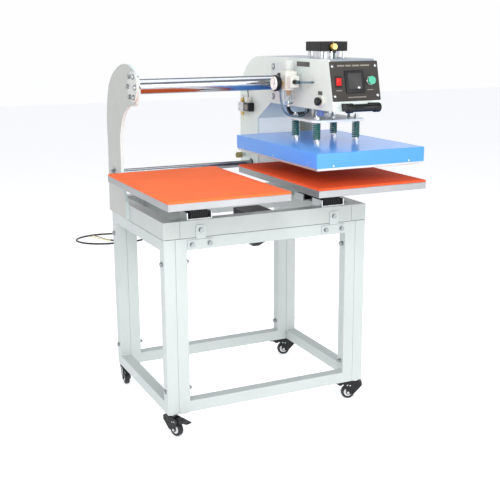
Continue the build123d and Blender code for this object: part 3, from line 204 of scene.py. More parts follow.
FINISHES = {
    "frame_paint": dict(rgb=(0.52, 0.562, 0.55), rough=0.40, vary=0.03, grain=420, depth=0.00005,
        coat=0.1, speck=0.18),
    "base_paint": dict(rgb=(0.48, 0.515, 0.50), rough=0.40, vary=0.04, grain=420, depth=0.00005, coat=0.1,
        speck=0.18),
    "upright_paint": dict(rgb=(0.43, 0.44, 0.415), rough=0.38, vary=0.03, grain=480, coat=0.12,
        speck=0.10),
    # Paler paint on the edges of the uprights: a painted highlight.
    "edge_painted_highlight": dict(rgb=(0.67, 0.77, 0.76), rough=0.55, vary=0.03, grain=480, specular=0.2,
        speck=0.05),
    "flange_paint": dict(rgb=(0.55, 0.57, 0.545), rough=0.36, vary=0.04, grain=420, depth=0.00005,
        coat=0.15),
    "plate_paint": dict(rgb=(0.68, 0.75, 0.715), rough=0.36, vary=0.025, grain=480, coat=0.15,
        speck=0.10),
    # Brighter copy of the plate paint for the column's upright front: painted light.
    "column_painted_light": dict(rgb=(0.90, 0.93, 0.90), rough=0.36, vary=0.025, grain=480, coat=0.15,
        speck=0.06),
    # Darker, bluer copy of the plate paint for the top faces of the head cover: painted shade.
    "cover_top_painted_shade": dict(rgb=(0.30, 0.33, 0.39), rough=0.34, vary=0.03, grain=480, coat=0.15, speck=0.10),
    "bearing_cast": dict(rgb=(0.66, 0.70, 0.70), rough=0.42, vary=0.04, grain=260, depth=0.00012),
    "bolt_zinc": dict(rgb=(0.62, 0.64, 0.66), rough=0.28, metal=1.0, vary=0.12, cloud=60, grain=700),
    "frame_zinc": dict(rgb=(0.36, 0.38, 0.39), rough=0.34, metal=1.0, vary=0.12, cloud=60, grain=700),
    "steel_shaft": dict(rgb=(0.26, 0.27, 0.29), rough=0.22, metal=1.0, cloud=12, grain=260,
        depth=0.0000002, stretch=(6.0, 0.3, 0.3), rough_vary=0.02),
    # Dark rings round the bearing screw heads: painted shadow.
    "screw_ring_painted_shadow": dict(rgb=(0.16, 0.165, 0.17), rough=0.45, metal=0.6, vary=0.12, cloud=60, grain=700),
    "chrome_shaft": dict(rgb=(0.43, 0.45, 0.485), rough=0.17, metal=1.0, cloud=12, grain=260,
        depth=0.0000002, stretch=(6.0, 0.3, 0.3), rough_vary=0.02),
    "support_steel": dict(rgb=(0.64, 0.67, 0.67), rough=0.36, metal=0.9, vary=0.08, grain=350,
        stretch=(1.0, 0.06, 1.0)),
    "aluminium": dict(rgb=(0.42, 0.43, 0.44), rough=0.40, metal=1.0, vary=0.08, cloud=9, grain=1500,
        depth=0.000012, stretch=(0.03, 0.03, 1.0)),
    "cast_aluminium": dict(rgb=(0.60, 0.61, 0.63), rough=0.45, metal=1.0, vary=0.08, cloud=20, grain=180,
        depth=0.0002),
    "silicone": dict(rgb=(0.95, 0.16, 0.042), rough=0.7, vary=0.06, cloud=6, grain=900, depth=0.00003,
        specular=0.18, speck=0.06, speck_rgb=(0.55, 0.08, 0.03)),
    # Deeper copy of the silicone for the right pad: painted shade from the heater above it.
    "silicone_painted_shade": dict(rgb=(0.78, 0.088, 0.021), rough=0.7, vary=0.06, cloud=6, grain=900,
        depth=0.00003, specular=0.18, speck=0.06, speck_rgb=(0.50, 0.07, 0.02)),
    "black_box": dict(rgb=(0.010, 0.010, 0.011), rough=0.42, vary=0.15, grain=360, depth=0.0001,
        specular=0.25),
    "black_plastic": dict(rgb=(0.008, 0.008, 0.010), rough=0.34, vary=0.2, depth=0.00005, coat=0.05,
        specular=0.28),
    "black_rubber": dict(rgb=(0.015, 0.015, 0.014), rough=0.45, vary=0.2, grain=900),
    "black_caster": dict(rgb=(0.008, 0.008, 0.009), rough=0.30, vary=0.25, grain=260, depth=0.00008,
        coat=0.06, specular=0.3, speck=0.3, speck_rgb=(0.12, 0.11, 0.10)),
    "tread": dict(rgb=(0.022, 0.023, 0.026), rough=0.48, vary=0.25, grain=420, depth=0.0001, specular=0.3,
        speck=0.5, speck_rgb=(0.16, 0.15, 0.14)),
    "hub": dict(rgb=(0.80, 0.80, 0.79), rough=0.22, grain=300, coat=0.3),
    "blue_cover": dict(rgb=(0.055, 0.30, 0.92), rough=0.34, grain=450, depth=0.00003, rough_vary=0.03,
        coat=0.45, speck=0.08, speck_rgb=(0.05, 0.15, 0.5)),
    # Brighter copy of the blue cover paint for the heater's top faces: painted light.
    "blue_top_painted_light": dict(rgb=(0.12, 0.39, 1.0), rough=0.34, grain=450, depth=0.00003, rough_vary=0.03,
        coat=0.45, speck=0.08, speck_rgb=(0.05, 0.15, 0.5)),
    "brass": dict(rgb=(0.76, 0.55, 0.20), rough=0.24, metal=1.0, vary=0.12, cloud=50, grain=600),
    "nickel": dict(rgb=(0.72, 0.72, 0.70), rough=0.20, metal=1.0, vary=0.08, cloud=50, grain=600),
    "barrel": dict(rgb=(0.72, 0.73, 0.75), rough=0.24, metal=1.0, vary=0.04, cloud=20, grain=800,
        stretch=(1.0, 1.0, 0.04)),
    "white_plastic": dict(rgb=(0.74, 0.735, 0.68), rough=0.32, vary=0.03, coat=0.15),
    "knob_plastic": dict(rgb=(0.60, 0.63, 0.61), rough=0.40, vary=0.04),
    "copper_element": dict(rgb=(0.78, 0.42, 0.20), rough=0.45, metal=0.4, vary=0.12, cloud=60, grain=1400,
        depth=0.0002),
    "dial_white": dict(rgb=(0.88, 0.88, 0.87), rough=0.35, vary=0.02, grain=600),
    "needle_black": dict(rgb=(0.03, 0.02, 0.02), rough=0.35, vary=0.1, grain=700),
    "valve": dict(rgb=(0.60, 0.61, 0.62), rough=0.34, metal=1.0, vary=0.10, cloud=30, grain=240,
        depth=0.0001),
    "panel_grey": dict(rgb=(0.042, 0.038, 0.034), rough=0.58, vary=0.10, grain=1100, depth=0.0001,
        specular=0.3),
    "panel_mark": dict(rgb=(0.24, 0.21, 0.18), rough=0.5, vary=0.10, grain=900),
    "teal_tube": dict(rgb=(0.03, 0.09, 0.10), rough=0.25, vary=0.10, coat=0.3),
    "display": dict(rgb=(0.045, 0.045, 0.045), rough=0.34, vary=0.25, cloud=20, grain=700, depth=0.00001,
        specular=0.25),
    "screen": dict(rgb=(0.010, 0.010, 0.012), rough=0.42, vary=0.2, grain=700, specular=0.3),
    "bezel": dict(rgb=(0.80, 0.80, 0.80), rough=0.12, metal=1.0, cloud=40, grain=700),
    "red_plastic": dict(rgb=(0.66, 0.010, 0.008), rough=0.34, vary=0.08, specular=0.3),
    "green_plastic": dict(rgb=(0.06, 0.44, 0.28), rough=0.28, vary=0.06, coat=0.3),
    "olive_rubber": dict(rgb=(0.24, 0.21, 0.07), rough=0.5, vary=0.15, depth=0.0001),
    "spring_green": dict(rgb=(0.012, 0.115, 0.085), rough=0.26, vary=0.15, coat=0.4),
    "carrier_steel": dict(rgb=(0.74, 0.76, 0.76), rough=0.42, metal=0.25, vary=0.08, grain=420,
        stretch=(0.08, 1.0, 1.0)),
    "label": dict(rgb=(0.045, 0.042, 0.038), rough=0.30, vary=0.15, grain=700, coat=0.3),
    "blue_plastic": dict(rgb=(0.10, 0.16, 0.42), rough=0.3, vary=0.08, coat=0.2),
    "core_brown": dict(rgb=(0.22, 0.12, 0.06), rough=0.4, vary=0.15, grain=900),
    "core_olive": dict(rgb=(0.30, 0.27, 0.14), rough=0.4, vary=0.15, grain=900),
    "core_yellow": dict(rgb=(0.62, 0.52, 0.10), rough=0.4, vary=0.15, grain=900),
    "copper": dict(rgb=(0.80, 0.40, 0.22), rough=0.3, metal=1.0, vary=0.1, grain=900),
    "weld": dict(rgb=(0.68, 0.73, 0.71), rough=0.45, grain=260, depth=0.0003),
    # Dark grey for strips and plugs of painted shade in joints and holes.
    "gap_painted_shade": dict(rgb=(0.10, 0.108, 0.108), rough=0.6, vary=0.1),
}

M = {name: surface(name, **finish) for name, finish in FINISHES.items()}
M["bowl_clear"] = clear("bowl_clear", (0.93, 0.97, 0.98))
M["tube_clear"] = clear("tube_clear", (0.30, 0.42, 0.55), 0.12, 1.45)
M["lens_clear"] = thin_clear("lens_clear")


# Mesh helpers

TIP = 0.0001  # radius in mm that closes the point of a turned shape


def finish_mesh(name, bm, mat, body, smooth=35, bevel=0.0):
    """Turn a bmesh into a piece that rides on a body, with the given material."""
    mesh = bpy.data.meshes.new(name)
    bm.to_mesh(mesh)
    bm.free()
    mesh.materials.append(M[mat])
    mesh.polygons.foreach_set("use_smooth", [True] * len(mesh.polygons))
    mesh.set_sharp_from_angle(angle=math.radians(smooth))
    obj = bpy.data.objects.new(name, mesh)
    bpy.context.scene.collection.objects.link(obj)
    if bevel:
        round_edges(obj, bevel)
    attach(obj, body)
    return obj


def round_edges(obj, width, segments=2):
    """Small rounding of every sharp edge, which catches the light."""
    mod = obj.modifiers.new("edges", "BEVEL")
    mod.width = width
    mod.segments = segments
    mod.limit_method = "ANGLE"
    mod.angle_limit = math.radians(40)
    mod.use_clamp_overlap = True


def carve(node, name, mat, test=None, smooth=35, bevel=0.0):
    """Piece made of those faces of a CAD node whose centre and normal pass the test."""
    bm = bmesh.new()
    bm.from_mesh(NODES[node].data)
    bmesh.ops.remove_doubles(bm, verts=bm.verts, dist=1e-6)
    if test:
        drop = [f for f in bm.faces if not test(f.calc_center_median() * 1000, f.normal)]
        bmesh.ops.delete(bm, geom=drop, context="FACES")
    bmesh.ops.dissolve_limit(bm, angle_limit=math.radians(0.5), verts=bm.verts, edges=bm.edges)
    obj = finish_mesh(name, bm, mat, NODES[node]["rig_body"], smooth, bevel)
    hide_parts(node)
    return obj


def other_than(*tests):
    """Test that is true for a face when none of the given tests is."""
    def passes(c, n):
        return not any(test(c, n) for test in tests)

    return passes


def basis(direction):
    """Rotation that takes +Z to a direction."""
    return Vector(direction).normalized().to_track_quat("Z", "Y").to_matrix().to_4x4()


def bridge(bm, rings):
    """Faces between each ring of vertices and the next."""
    for low, high in zip(rings, rings[1:]):
        for i in range(len(low)):
            j = (i + 1) % len(low)
            bm.faces.new((low[i], low[j], high[j], high[i]))


def close_ends(bm, rings):
    """Flat caps on the first and the last ring."""
    bm.faces.new(list(reversed(rings[0])))
    bm.faces.new(rings[-1])


def lathe(bm, profile, start, direction, steps=48, around=None):
    """Surface of revolution of (radius, height) pairs about an axis from a point, in mm."""
    place = Matrix.Translation(mm(*start)) @ basis(direction)
    rings = []
    for radius, height in profile:
        ring = []
        for i in range(steps):
            a = 2 * math.pi * i / steps
            r = radius * (around(a) if around else 1.0)
            ring.append(bm.verts.new(place @ mm(r * math.cos(a), r * math.sin(a), height)))
        rings.append(ring)
    bridge(bm, rings)
    close_ends(bm, rings)
    return bm


def open_ends(bm):
    """Remove the flat caps at the ends of a lathed ring."""
    caps = [f for f in bm.faces if len(f.verts) > 8]
    bmesh.ops.delete(bm, geom=caps, context="FACES_ONLY")


def lathed(name, profile, start, direction, mat, body, steps=48, smooth=30, around=None):
    """Turned piece that rides on a body."""
    bm = lathe(bmesh.new(), profile, start, direction, steps, around)
    return finish_mesh(name, bm, mat, body, smooth)


def slab(bm, low, high, radius=0.0, steps=3):
    """Box between two corners in mm with rounded edges."""
    size = Vector(high) - Vector(low)
    centre = (Vector(high) + Vector(low)) / 2
    verts = bmesh.ops.create_cube(bm, size=1.0)["verts"]
    for v in verts:
        v.co = mm(*(centre[i] + v.co[i] * size[i] for i in range(3)))
    if radius:
        edges = list({e for v in verts for e in v.link_edges})
        bmesh.ops.bevel(bm, geom=edges, offset=radius / 1000, segments=steps, profile=0.5, affect="EDGES")
    return bm


def join_bm(target, source, matrix):
    """Move one bmesh into another through a matrix."""
    mesh = bpy.data.meshes.new("tmp")
    source.to_mesh(mesh)
    source.free()
    mesh.transform(matrix)
    target.from_mesh(mesh)
    bpy.data.meshes.remove(mesh)


def pipe(name, points, radius, mat, body, order=3, steps=8):
    """Round hose or wire along a smooth spline, points in mm."""
    data = bpy.data.curves.new(name, "CURVE")
    data.dimensions = "3D"
    data.bevel_depth = radius / 1000
    data.bevel_resolution = 5
    data.resolution_u = steps
    data.use_fill_caps = True
    spline = data.splines.new("NURBS")
    spline.points.add(len(points) - 1)
    for point, place in zip(spline.points, points):
        point.co = (*mm(*place), 1)
    spline.order_u = order
    spline.use_endpoint_u = True
    data.materials.append(M[mat])
    obj = bpy.data.objects.new(name, data)
    bpy.context.scene.collection.objects.link(obj)
    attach(obj, body)
    return obj


def dress(node, mat, bevel=0.0):
    """Material, and a fine edge rounding, on a CAD node that stays."""
    obj = NODES[node]
    obj.data.materials.clear()
    obj.data.materials.append(M[mat])
    if bevel:
        weld = obj.modifiers.new("weld", "WELD")
        weld.merge_threshold = 1e-6
        round_edges(obj, bevel)


def lo(node):
    """Lowest corner of a node's box in mm."""
    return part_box(node)[0] * 1000


def hi(node):
    """Highest corner of a node's box in mm."""
    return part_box(node)[1] * 1000


def middle(node):
    """Centre of a node's box in mm."""
    return (lo(node) + hi(node)) / 2


# Places in mm, worked out from the frame

HX, HY = middle("heater_cover").xy
HEAD_L, HEAD_R = lo("head_left_plate").x, hi("head_right_plate").x
ARM_B = hi("column_cover").z - 2.5
TUBE, BEAM = 40, 57
BLOCK_YS = (-122, 12)
SHAFT = middle("upper_shaft")
BOWL = middle("filter_bowl")
REG = Vector((BOWL.x, BOWL.y, hi("filter_bowl").z))
CAP = Vector((HX - 8, HY, hi("air_cylinder").z - 16))
BOLT_Y, BOLT_Z = 56, 52
STUD_X, STUD_Y = 76, 75
PANEL_N = Vector((0, -157, 38)).normalized()
PANEL_UP = Vector((0, 38, 157)).normalized()
PANEL_O = Vector((HX, lo("head_left_plate").y, ARM_B)) + PANEL_UP * 97
START = (53, -2)
X_AXIS, Y_AXIS, Z_AXIS = Vector((1, 0, 0)), Vector((0, 1, 0)), Vector((0, 0, 1))
CORNERS = [(a, b) for a in (-1, 1) for b in (-1, 1)]

# Turned profiles that repeat, as (radius, height) in mm

PAN_HEAD = [(3.4, -0.3), (3.4, 0.5), (2.4, 1.2), (TIP, 1.4)]


def panel_at(x, up, out=0.0):
    """Point on the control panel in mm."""
    return PANEL_O + Vector((x, 0, 0)) + PANEL_UP * up + PANEL_N * out


PANEL_FRAME = Matrix(((1, 0, 0), tuple(PANEL_UP), tuple(PANEL_N))).transposed().to_4x4()


def on_panel(x, up, out=0.0):
    """Matrix that stands a flat piece on the panel at a point given in mm."""
    return Matrix.Translation(panel_at(x, up, out) / 1000) @ PANEL_FRAME


# Cord

def make_cord():
    """Cord on its real route, with three stripped cores and their bare strands."""
    cord = pipe("mains_cord", CORD_ROUTE, 3.5, "black_rubber", "stand", steps=12)
    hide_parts("power_cord")
    end = Vector(CORD_ROUTE[-1])
    ahead = (end - Vector(CORD_ROUTE[-2])).normalized()
    aside = ahead.cross(Z_AXIS).normalized()
    tips = [(-408, 566, 549), (-398, 574, 543), (-416, 568, 544)]
    for i, (tip, mat) in enumerate(zip(tips, ("core_brown", "core_olive", "core_yellow"))):
        a = math.radians(120 * i + 20)
        shift = (aside * math.cos(a) + Z_AXIS * math.sin(a)) * 1.6
        first = end - ahead * 4 + shift
        onward = end + ahead * 26 + shift * 1.6
        late = onward.lerp(Vector(tip), 0.55) + Z_AXIS * (2 - i)
        core = [first, end + shift, onward, late, tip]
        pipe(f"cord_core_{i}", core, 1.25, mat, "stand")
        out = (Vector(tip) - late).normalized()
        strand = [Vector(tip) - out * 2, Vector(tip) + out * 4, Vector(tip) + out * 9 + Z_AXIS * 0.6]
        pipe(f"cord_strand_{i}", strand, 0.8, "copper", "stand")


make_cord()


# Stand

def make_stand():
    """Frames, base, uprights, shafts, platens and what is fixed to them."""
    for node in ("left_side_frame", "right_side_frame", "cross_frames"):
        dress(node, "frame_paint")
    dress("base_frame", "base_paint")
    dress("joining_plates", "frame_paint", 0.0006)
    dress("frame_bolts", "frame_zinc", 0.0004)
    make_uprights()
    dress("upper_shaft", "chrome_shaft")
    dress("lower_shaft", "steel_shaft")
    dress("shaft_flanges", "flange_paint", 0.0009)
    dress("lower_platens", "aluminium", 0.0004)
    dress("cord_clip", "black_plastic", 0.0004)
    dress("junction_box", "black_box", 0.0008)
    dress("caster_stems", "nickel", 0.0003)
    make_welds()
    make_seams()
    make_tube_caps()
    make_supports()
    make_pads()
    make_box_lid()
    make_gland()


def make_uprights():
    """Tall end plates: painted faces, and edges in a paler paint that is a painted highlight."""
    def is_face(c, n):
        return abs(n.x) > 0.5

    for side in ("left", "right"):
        carve(f"{side}_upright", f"{side}_upright_face", "upright_paint", is_face)
        carve(f"{side}_upright", f"{side}_upright_edge", "edge_painted_highlight", other_than(is_face))


def bead(bm, start, end, radius, seed):
    """Weld bead: a lumpy half-sunk cord of ripples."""
    start, end = Vector(start), Vector(end)
    along = end - start
    count = max(6, int(along.length / 1.4))
    turn = basis(along)
    rings = []
    for i in range(count + 1):
        t = i / count
        size = radius * (0.85 + 0.22 * math.sin(i * 2.1 + seed) + 0.1 * math.sin(i * 0.7 + seed * 3))
        if i in (0, count):
            size *= 0.35
        centre = Matrix.Translation((start + along * t) / 1000) @ turn
        ring = []
        for k in range(8):
            a = k * math.pi / 4
            ring.append(bm.verts.new(centre @ mm(size * math.cos(a), size * math.sin(a), 0)))
        rings.append(ring)
    bridge(bm, rings)
    close_ends(bm, rings)


def make_welds():
    """Fillet welds in the inside corners of the stand's frames and of the base."""
    bm = bmesh.new()
    low, high = lo("left_side_frame"), hi("right_side_frame")
    x_out, y0, y1 = high.x, low.y, high.y
    corners = (low.z + TUBE, high.z - TUBE)
    seed = 1
    for side in (-1, 1):
        for y in (y0 + TUBE, y1 - TUBE):
            for z in corners:
                seed += 1
                bead(bm, (side * (x_out - TUBE + 2), y, z), (side * (x_out - 2), y, z), 2.0, seed)
    inner = x_out - 2 * TUBE
    for y in (y0, y1 - TUBE):
        for side in (-1, 1):
            for z in corners:
                seed += 1
                bead(bm, (side * inner, y + 3, z), (side * inner, y + TUBE - 3, z), 2.0, seed)
    top = hi("base_frame").z
    for x in (-HX - 20, -HX + 20, HX - 20, HX + 20):
        for y in (y0 + TUBE, y1 - TUBE):
            seed += 1
            bead(bm, (x, y, top - BEAM + 3), (x, y, top - 3), 2.0, seed)
    front, back = 191, y1 - 8.5
    for way in (-1, 1):
        seed += 1
        foot, ledge = way * (x_out + 1), way * (x_out - 1)
        bead(bm, (foot, front, top - 51.5), (foot, back, top - 51.5), 2.2, seed)
        bead(bm, (ledge, front, top + 0.5), (ledge, back - 1, top + 0.5), 2.2, seed + 2)
    finish_mesh("frame_welds", bm, "weld", "stand", smooth=60)


def make_seams():
    """Dark strips of painted shade: the shadow lines where the box beams of the base meet each other and rest
    on the frames below.
    """
    bm = bmesh.new()
    low, high = lo("base_frame"), hi("base_frame")
    z = low.z
    for y, way in ((low.y, -1), (high.y, 1)):
        a, b = sorted((y - way * 4, y + way * 0.25))
        slab(bm, (low.x + 3, a, z - 0.8), (high.x - 3, b, z + 0.8))
        for x in (low.x + BEAM, high.x - BEAM):
            slab(bm, (x - 0.5, a, z + 1), (x + 0.5, b, high.z - 2))
    for x, way in ((low.x, -1), (high.x, 1)):
        a, b = sorted((x - way * 4, x + way * 0.25))
        slab(bm, (a, low.y + 3, z - 0.7), (b, high.y - 3, z + 0.7))
    finish_mesh("base_seam_shade", bm, "gap_painted_shade", "stand")


def make_tube_caps():
    """Black plastic caps in the feet of the inner legs, beside the legs on the casters."""
    bm = bmesh.new()
    low, high = lo("left_side_frame"), hi("right_side_frame")
    half = TUBE / 2 - 2.5
    for side in (-1, 1):
        for y in (low.y + TUBE / 2, high.y - TUBE / 2):
            x = side * (high.x - 1.5 * TUBE)
            slab(bm, (x - half, y - half, low.z - 1.2), (x + half, y + half, low.z + 0.4), 0.5, 1)
    finish_mesh("leg_end_caps", bm, "black_plastic", "stand")


def make_supports():
    """Short steel channels, and ribbed black blocks standing in them."""
    base = hi("base_frame").z

    def is_block(c, n):
        near = abs(abs(c.x) - HX) < 32.2 and min(abs(c.y - y) for y in BLOCK_YS) < 30.2
        return near and c.z > base + 4.05

    carve("platen_supports", "support_channels", "support_steel", other_than(is_block), bevel=0.0005)
    low, high = base + 4, lo("lower_platens").z
    bm = bmesh.new()
    for x in (-HX, HX):
        for y in BLOCK_YS:
            slab(bm, (x - 29, y - 27, low), (x + 29, y + 27, high), 1.0, 1)
            for k in range(8):
                u = -26.5 + k * 7.57
                slab(bm, (x + u - 1.9, y - 30, low + 0.2), (x + u + 1.9, y + 30, high - 3), 0.6, 1)
                v = -24.5 + k * 7.0
                slab(bm, (x - 32, y + v - 1.8, low + 0.2), (x + 32, y + v + 1.8, high - 3), 0.6, 1)
    finish_mesh("insulating_blocks", bm, "black_plastic", "stand")


def make_pads():
    """Silicone pads with a soft edge and a very slight unevenness, as cut from sheet."""
    low, high = lo("silicone_pads"), hi("silicone_pads")
    width = high.x - low.x - 2 * HX
    depth = high.y - low.y
    # The right pad takes the deeper copy of the silicone, as painted shade under the heater.
    for name, x0, mat in (("left_pad", low.x, "silicone"), ("right_pad", high.x - width, "silicone_painted_shade")):
        bm = bmesh.new()
        nx, ny = 40, 60
        grid = []
        for j in range(ny + 1):
            row = []
            for i in range(nx + 1):
                u, v = i / nx, j / ny
                edge = min(u * width, (1 - u) * width, v * depth, (1 - v) * depth)
                fall = max(0.0, 1 - edge / 12.0)
                wave = 0.18 * math.sin(u * 9 + v * 4 + x0) * math.sin(v * 7 + 1.3)
                z = high.z - 0.25 - 1.1 * fall * fall + wave * (1 - fall)
                row.append(bm.verts.new(mm(x0 + u * width, low.y + v * depth, min(z, high.z))))
            grid.append(row)
        for j in range(ny):
            for i in range(nx):
                bm.faces.new((grid[j][i], grid[j][i + 1], grid[j + 1][i + 1], grid[j + 1][i]))
        rim = [e for e in bm.edges if e.is_boundary]
        made = bmesh.ops.extrude_edge_only(bm, edges=rim)
        wall = [v for v in made["geom"] if isinstance(v, bmesh.types.BMVert)]
        for v in wall:
            v.co.z = low.z / 1000 + 0.0001
        bottom = [e for e in made["geom"] if isinstance(e, bmesh.types.BMEdge)]
        bmesh.ops.contextual_create(bm, geom=bottom)
        bmesh.ops.recalc_face_normals(bm, faces=bm.faces)
        pad = finish_mesh(name, bm, mat, "stand", smooth=50)
        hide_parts("silicone_pads")


def make_box_lid():
    """Seam flange, foot plug, lid screws and cable glands of the electrical box."""
    low, high = lo("junction_box"), hi("junction_box")
    shoulder = hi("base_frame").z - 92
    bm = bmesh.new()
    slab(bm, (low.x - 1.2, low.y - 1.2, shoulder - 1), (high.x + 1.2, high.y + 1.2, shoulder + 2), 0.6, 2)
    lathe(bm, [(7, -0.5), (7, 1.4), (5.6, 2.2), (TIP, 2.3)], (-12, -72, low.z), (0, 0, -1), 28)
    for x in (low.x + 9, high.x - 9):
        for z in (shoulder + 10, high.z - 12):
            lathe(bm, [(3.2, 0), (3.2, 1.0), (2.0, 1.7), (TIP, 1.8)], (x, low.y, z), (0, -1, 0), 20)
    finish_mesh("junction_box_lid", bm, "black_box", "stand")
    bm = bmesh.new()
    for x in (low.x + 30, low.x + 62):
        dome = [(8, 0), (8, 4), (6.5, 5), (6.5, 12), (4.5, 16), (3.4, 16.5)]
        lathe(bm, dome, (x, high.y, high.z - 40), Y_AXIS, 24)
    finish_mesh("junction_box_glands", bm, "black_plastic", "stand")


def make_gland():
    """Cable gland with a ribbed dome nut."""
    face = hi("cord_gland").y - 24
    x, z = CORD_ROUTE[0][0], CORD_ROUTE[0][2]
    bm = bmesh.new()
    lathe(bm, [(7.6, -6), (7.6, -0.2)], (x, face, z), Y_AXIS, 32)
    lathe(bm, [(11.4, 0), (12.2, 0.8), (12.2, 5.2), (11.2, 6)], (x, face, z), Y_AXIS, 6)

    def ribs(a):
        return 1 + 0.035 * (1 if math.sin(a * 16) > 0 else -1)

    lathe(bm, [(9.7, 6), (10, 7), (9.6, 13)], (x, face, z), Y_AXIS, 64, ribs)
    lathe(bm, [(9.2, 13), (8.2, 17), (6.4, 21), (5.0, 23.6), (3.6, 23.9)], (x, face, z), Y_AXIS, 40)
    gland = finish_mesh("cable_gland", bm, "black_plastic", "stand")
    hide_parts("cord_gland")


# Casters

TREAD = [(15, 1.6), (16, 0.7), (19.5, 0.2), (22.4, 1.0), (24.3, 3.2), (25, 7), (25, 9.2), (24.6, 10),
         (25, 10.8), (25, 13), (24.3, 16.8), (22.4, 19.0), (19.5, 19.8), (16, 19.3), (15, 18.4)]
HUB = [(4.2, 0.6), (6.6, 0.6), (7.2, 1.2), (8.0, 2.6), (10.5, 2.0), (13.2, 1.2), (15, 1.6), (15.1, 6),
       (15.1, 14), (15, 18.4), (13.2, 18.8), (10.5, 18.0), (8.0, 17.4), (7.2, 18.8), (6.6, 19.4), (4.2, 19.4)]
AXLE_END = [(5.0, -1.4), (5.0, 0.2), (4.0, 1.2), (1.5, 1.5), (TIP, 1.5)]
RIVET = [(2.4, -0.3), (2.4, 0.3), (1.6, 1.0), (TIP, 1.2)]


def make_casters():
    """Black lacquered forks and pedals, moulded wheels with a pale hub, axle nuts and rivets."""
    for corner in ("front_left", "front_right", "rear_left", "rear_right"):
        dress(f"{corner}_fork", "black_caster", 0.0009)
        dress(f"{corner}_pedal", "black_caster", 0.0008)
        joint = next(j for j in frame["joints"] if j["name"] == f"{corner}_roll")
        centre = Vector(joint["pos_m"]) * 1000
        axis = Vector(joint["axis"]).normalized()
        trail = axis.cross(Z_AXIS)
        start = centre - axis * 10
        bm = bmesh.new()
        lathe(bm, TREAD, start, axis, 72)
        open_ends(bm)
        tyre = finish_mesh(f"{corner}_tyre", bm, "tread", f"{corner}_wheel", smooth=25)
        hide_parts(f"{corner}_wheel")
        bm = bmesh.new()
        lathe(bm, HUB, start, axis, 60)
        open_ends(bm)
        finish_mesh(f"{corner}_hub", bm, "hub", f"{corner}_wheel", smooth=30)
        bm = bmesh.new()
        for way in (-1, 1):
            face = centre + axis * way * 16.5
            lathe(bm, AXLE_END, face, axis * way, 24)
            for along, up in ((-3, 29), (7, 27)):
                spot = centre + axis * way * 15 + trail * along + Z_AXIS * up
                lathe(bm, RIVET, spot, axis * way, 20)
        finish_mesh(f"{corner}_rivets", bm, "bolt_zinc", f"{corner}_fork")


# Head

def make_head():
    """Sliding head with its plates, covers, bearings, air parts and controls."""
    dress("head_left_plate", "plate_paint", 0.0006)
    dress("head_right_plate", "plate_paint", 0.0006)
    top = hi("head_cover").z - 32

    def is_top(c, n):
        return n.z > 0.5 and c.z > top

    # The top faces of the head cover take the darker copy of the plate paint, as painted shade.
    carve("head_cover", "cover_top", "cover_top_painted_shade", is_top)
    carve("head_cover", "cover_sheet", "plate_paint", other_than(is_top))

    def is_upright(c, n):
        return n.y < -0.9 and c.z < ARM_B - 20

    # The column's upright front takes the brighter copy of the plate paint, as painted light.
    carve("column_cover", "column_front_painted_light", "column_painted_light", is_upright)
    carve("column_cover", "column_folds", "plate_paint", other_than(is_upright))
    dress("lower_carriage", "aluminium", 0.0005)

    def is_neck(c, n):
        return HEAD_L - 14.05 < c.x < HEAD_R + 14.05

    carve("bumpers", "bumper_necks", "bolt_zinc", is_neck, bevel=0.0005)
    carve("bumpers", "bumper_rubber", "olive_rubber", other_than(is_neck))
    make_bearings()
    make_cylinder()
    make_fittings()
    make_tubes()
    make_regulator()
    make_gauge()
    make_valve()
    make_panel()
    make_handle()
    make_labels()


def make_bearings():
    """Bearing flanges, their screws and the steel barrels."""
    flange, seal = 10, 15
    bolts = [(SHAFT.y + a * BOLT_Y, SHAFT.z + b * BOLT_Z) for a, b in CORNERS]

    def is_bolt(c, n):
        near = min(math.hypot(c.y - y, c.z - z) for y, z in bolts) < 9.2
        return near and (c.x < HEAD_L - flange - 0.01 or c.x > HEAD_R + flange + 0.01)

    def is_barrel(c, n):
        return math.hypot(c.y - SHAFT.y, c.z - SHAFT.z) < 36.5

    carve("shaft_bearings", "bearing_flanges", "bearing_cast", other_than(is_bolt, is_barrel), bevel=0.0006)
    carve("shaft_bearings", "bearing_screws", "bolt_zinc", is_bolt, bevel=0.0004)
    carve("shaft_bearings", "bearing_barrels", "nickel", is_barrel)
    bm = bmesh.new()
    wiper = [(25.2, -0.5), (25.4, 0.6), (28, 1.0), (31, 0.9), (33, 0.2), (33, -0.5)]
    for face, out in ((HEAD_L - seal, -1), (HEAD_R + seal, 1)):
        lathe(bm, wiper, (face, SHAFT.y, SHAFT.z), (out, 0, 0), 64)
    open_ends(bm)
    finish_mesh("bearing_wipers", bm, "black_rubber", "head")
    # Dark rings behind each screw head on the flanges: painted shadow round the screws.
    bm = bmesh.new()
    shadow_ring = [(9.0, -0.3), (11.2, -0.3), (11.2, 0.8), (10.6, 1.3), (9.0, 1.3)]
    for y, z in bolts:
        for face, out in ((HEAD_L - flange, -1), (HEAD_R + flange, 1)):
            lathe(bm, shadow_ring, (face, y, z), (out, 0, 0), 40)
    open_ends(bm)
    finish_mesh("bearing_screw_shadow_rings", bm, "screw_ring_painted_shadow", "head")


ROD_OUT = 42


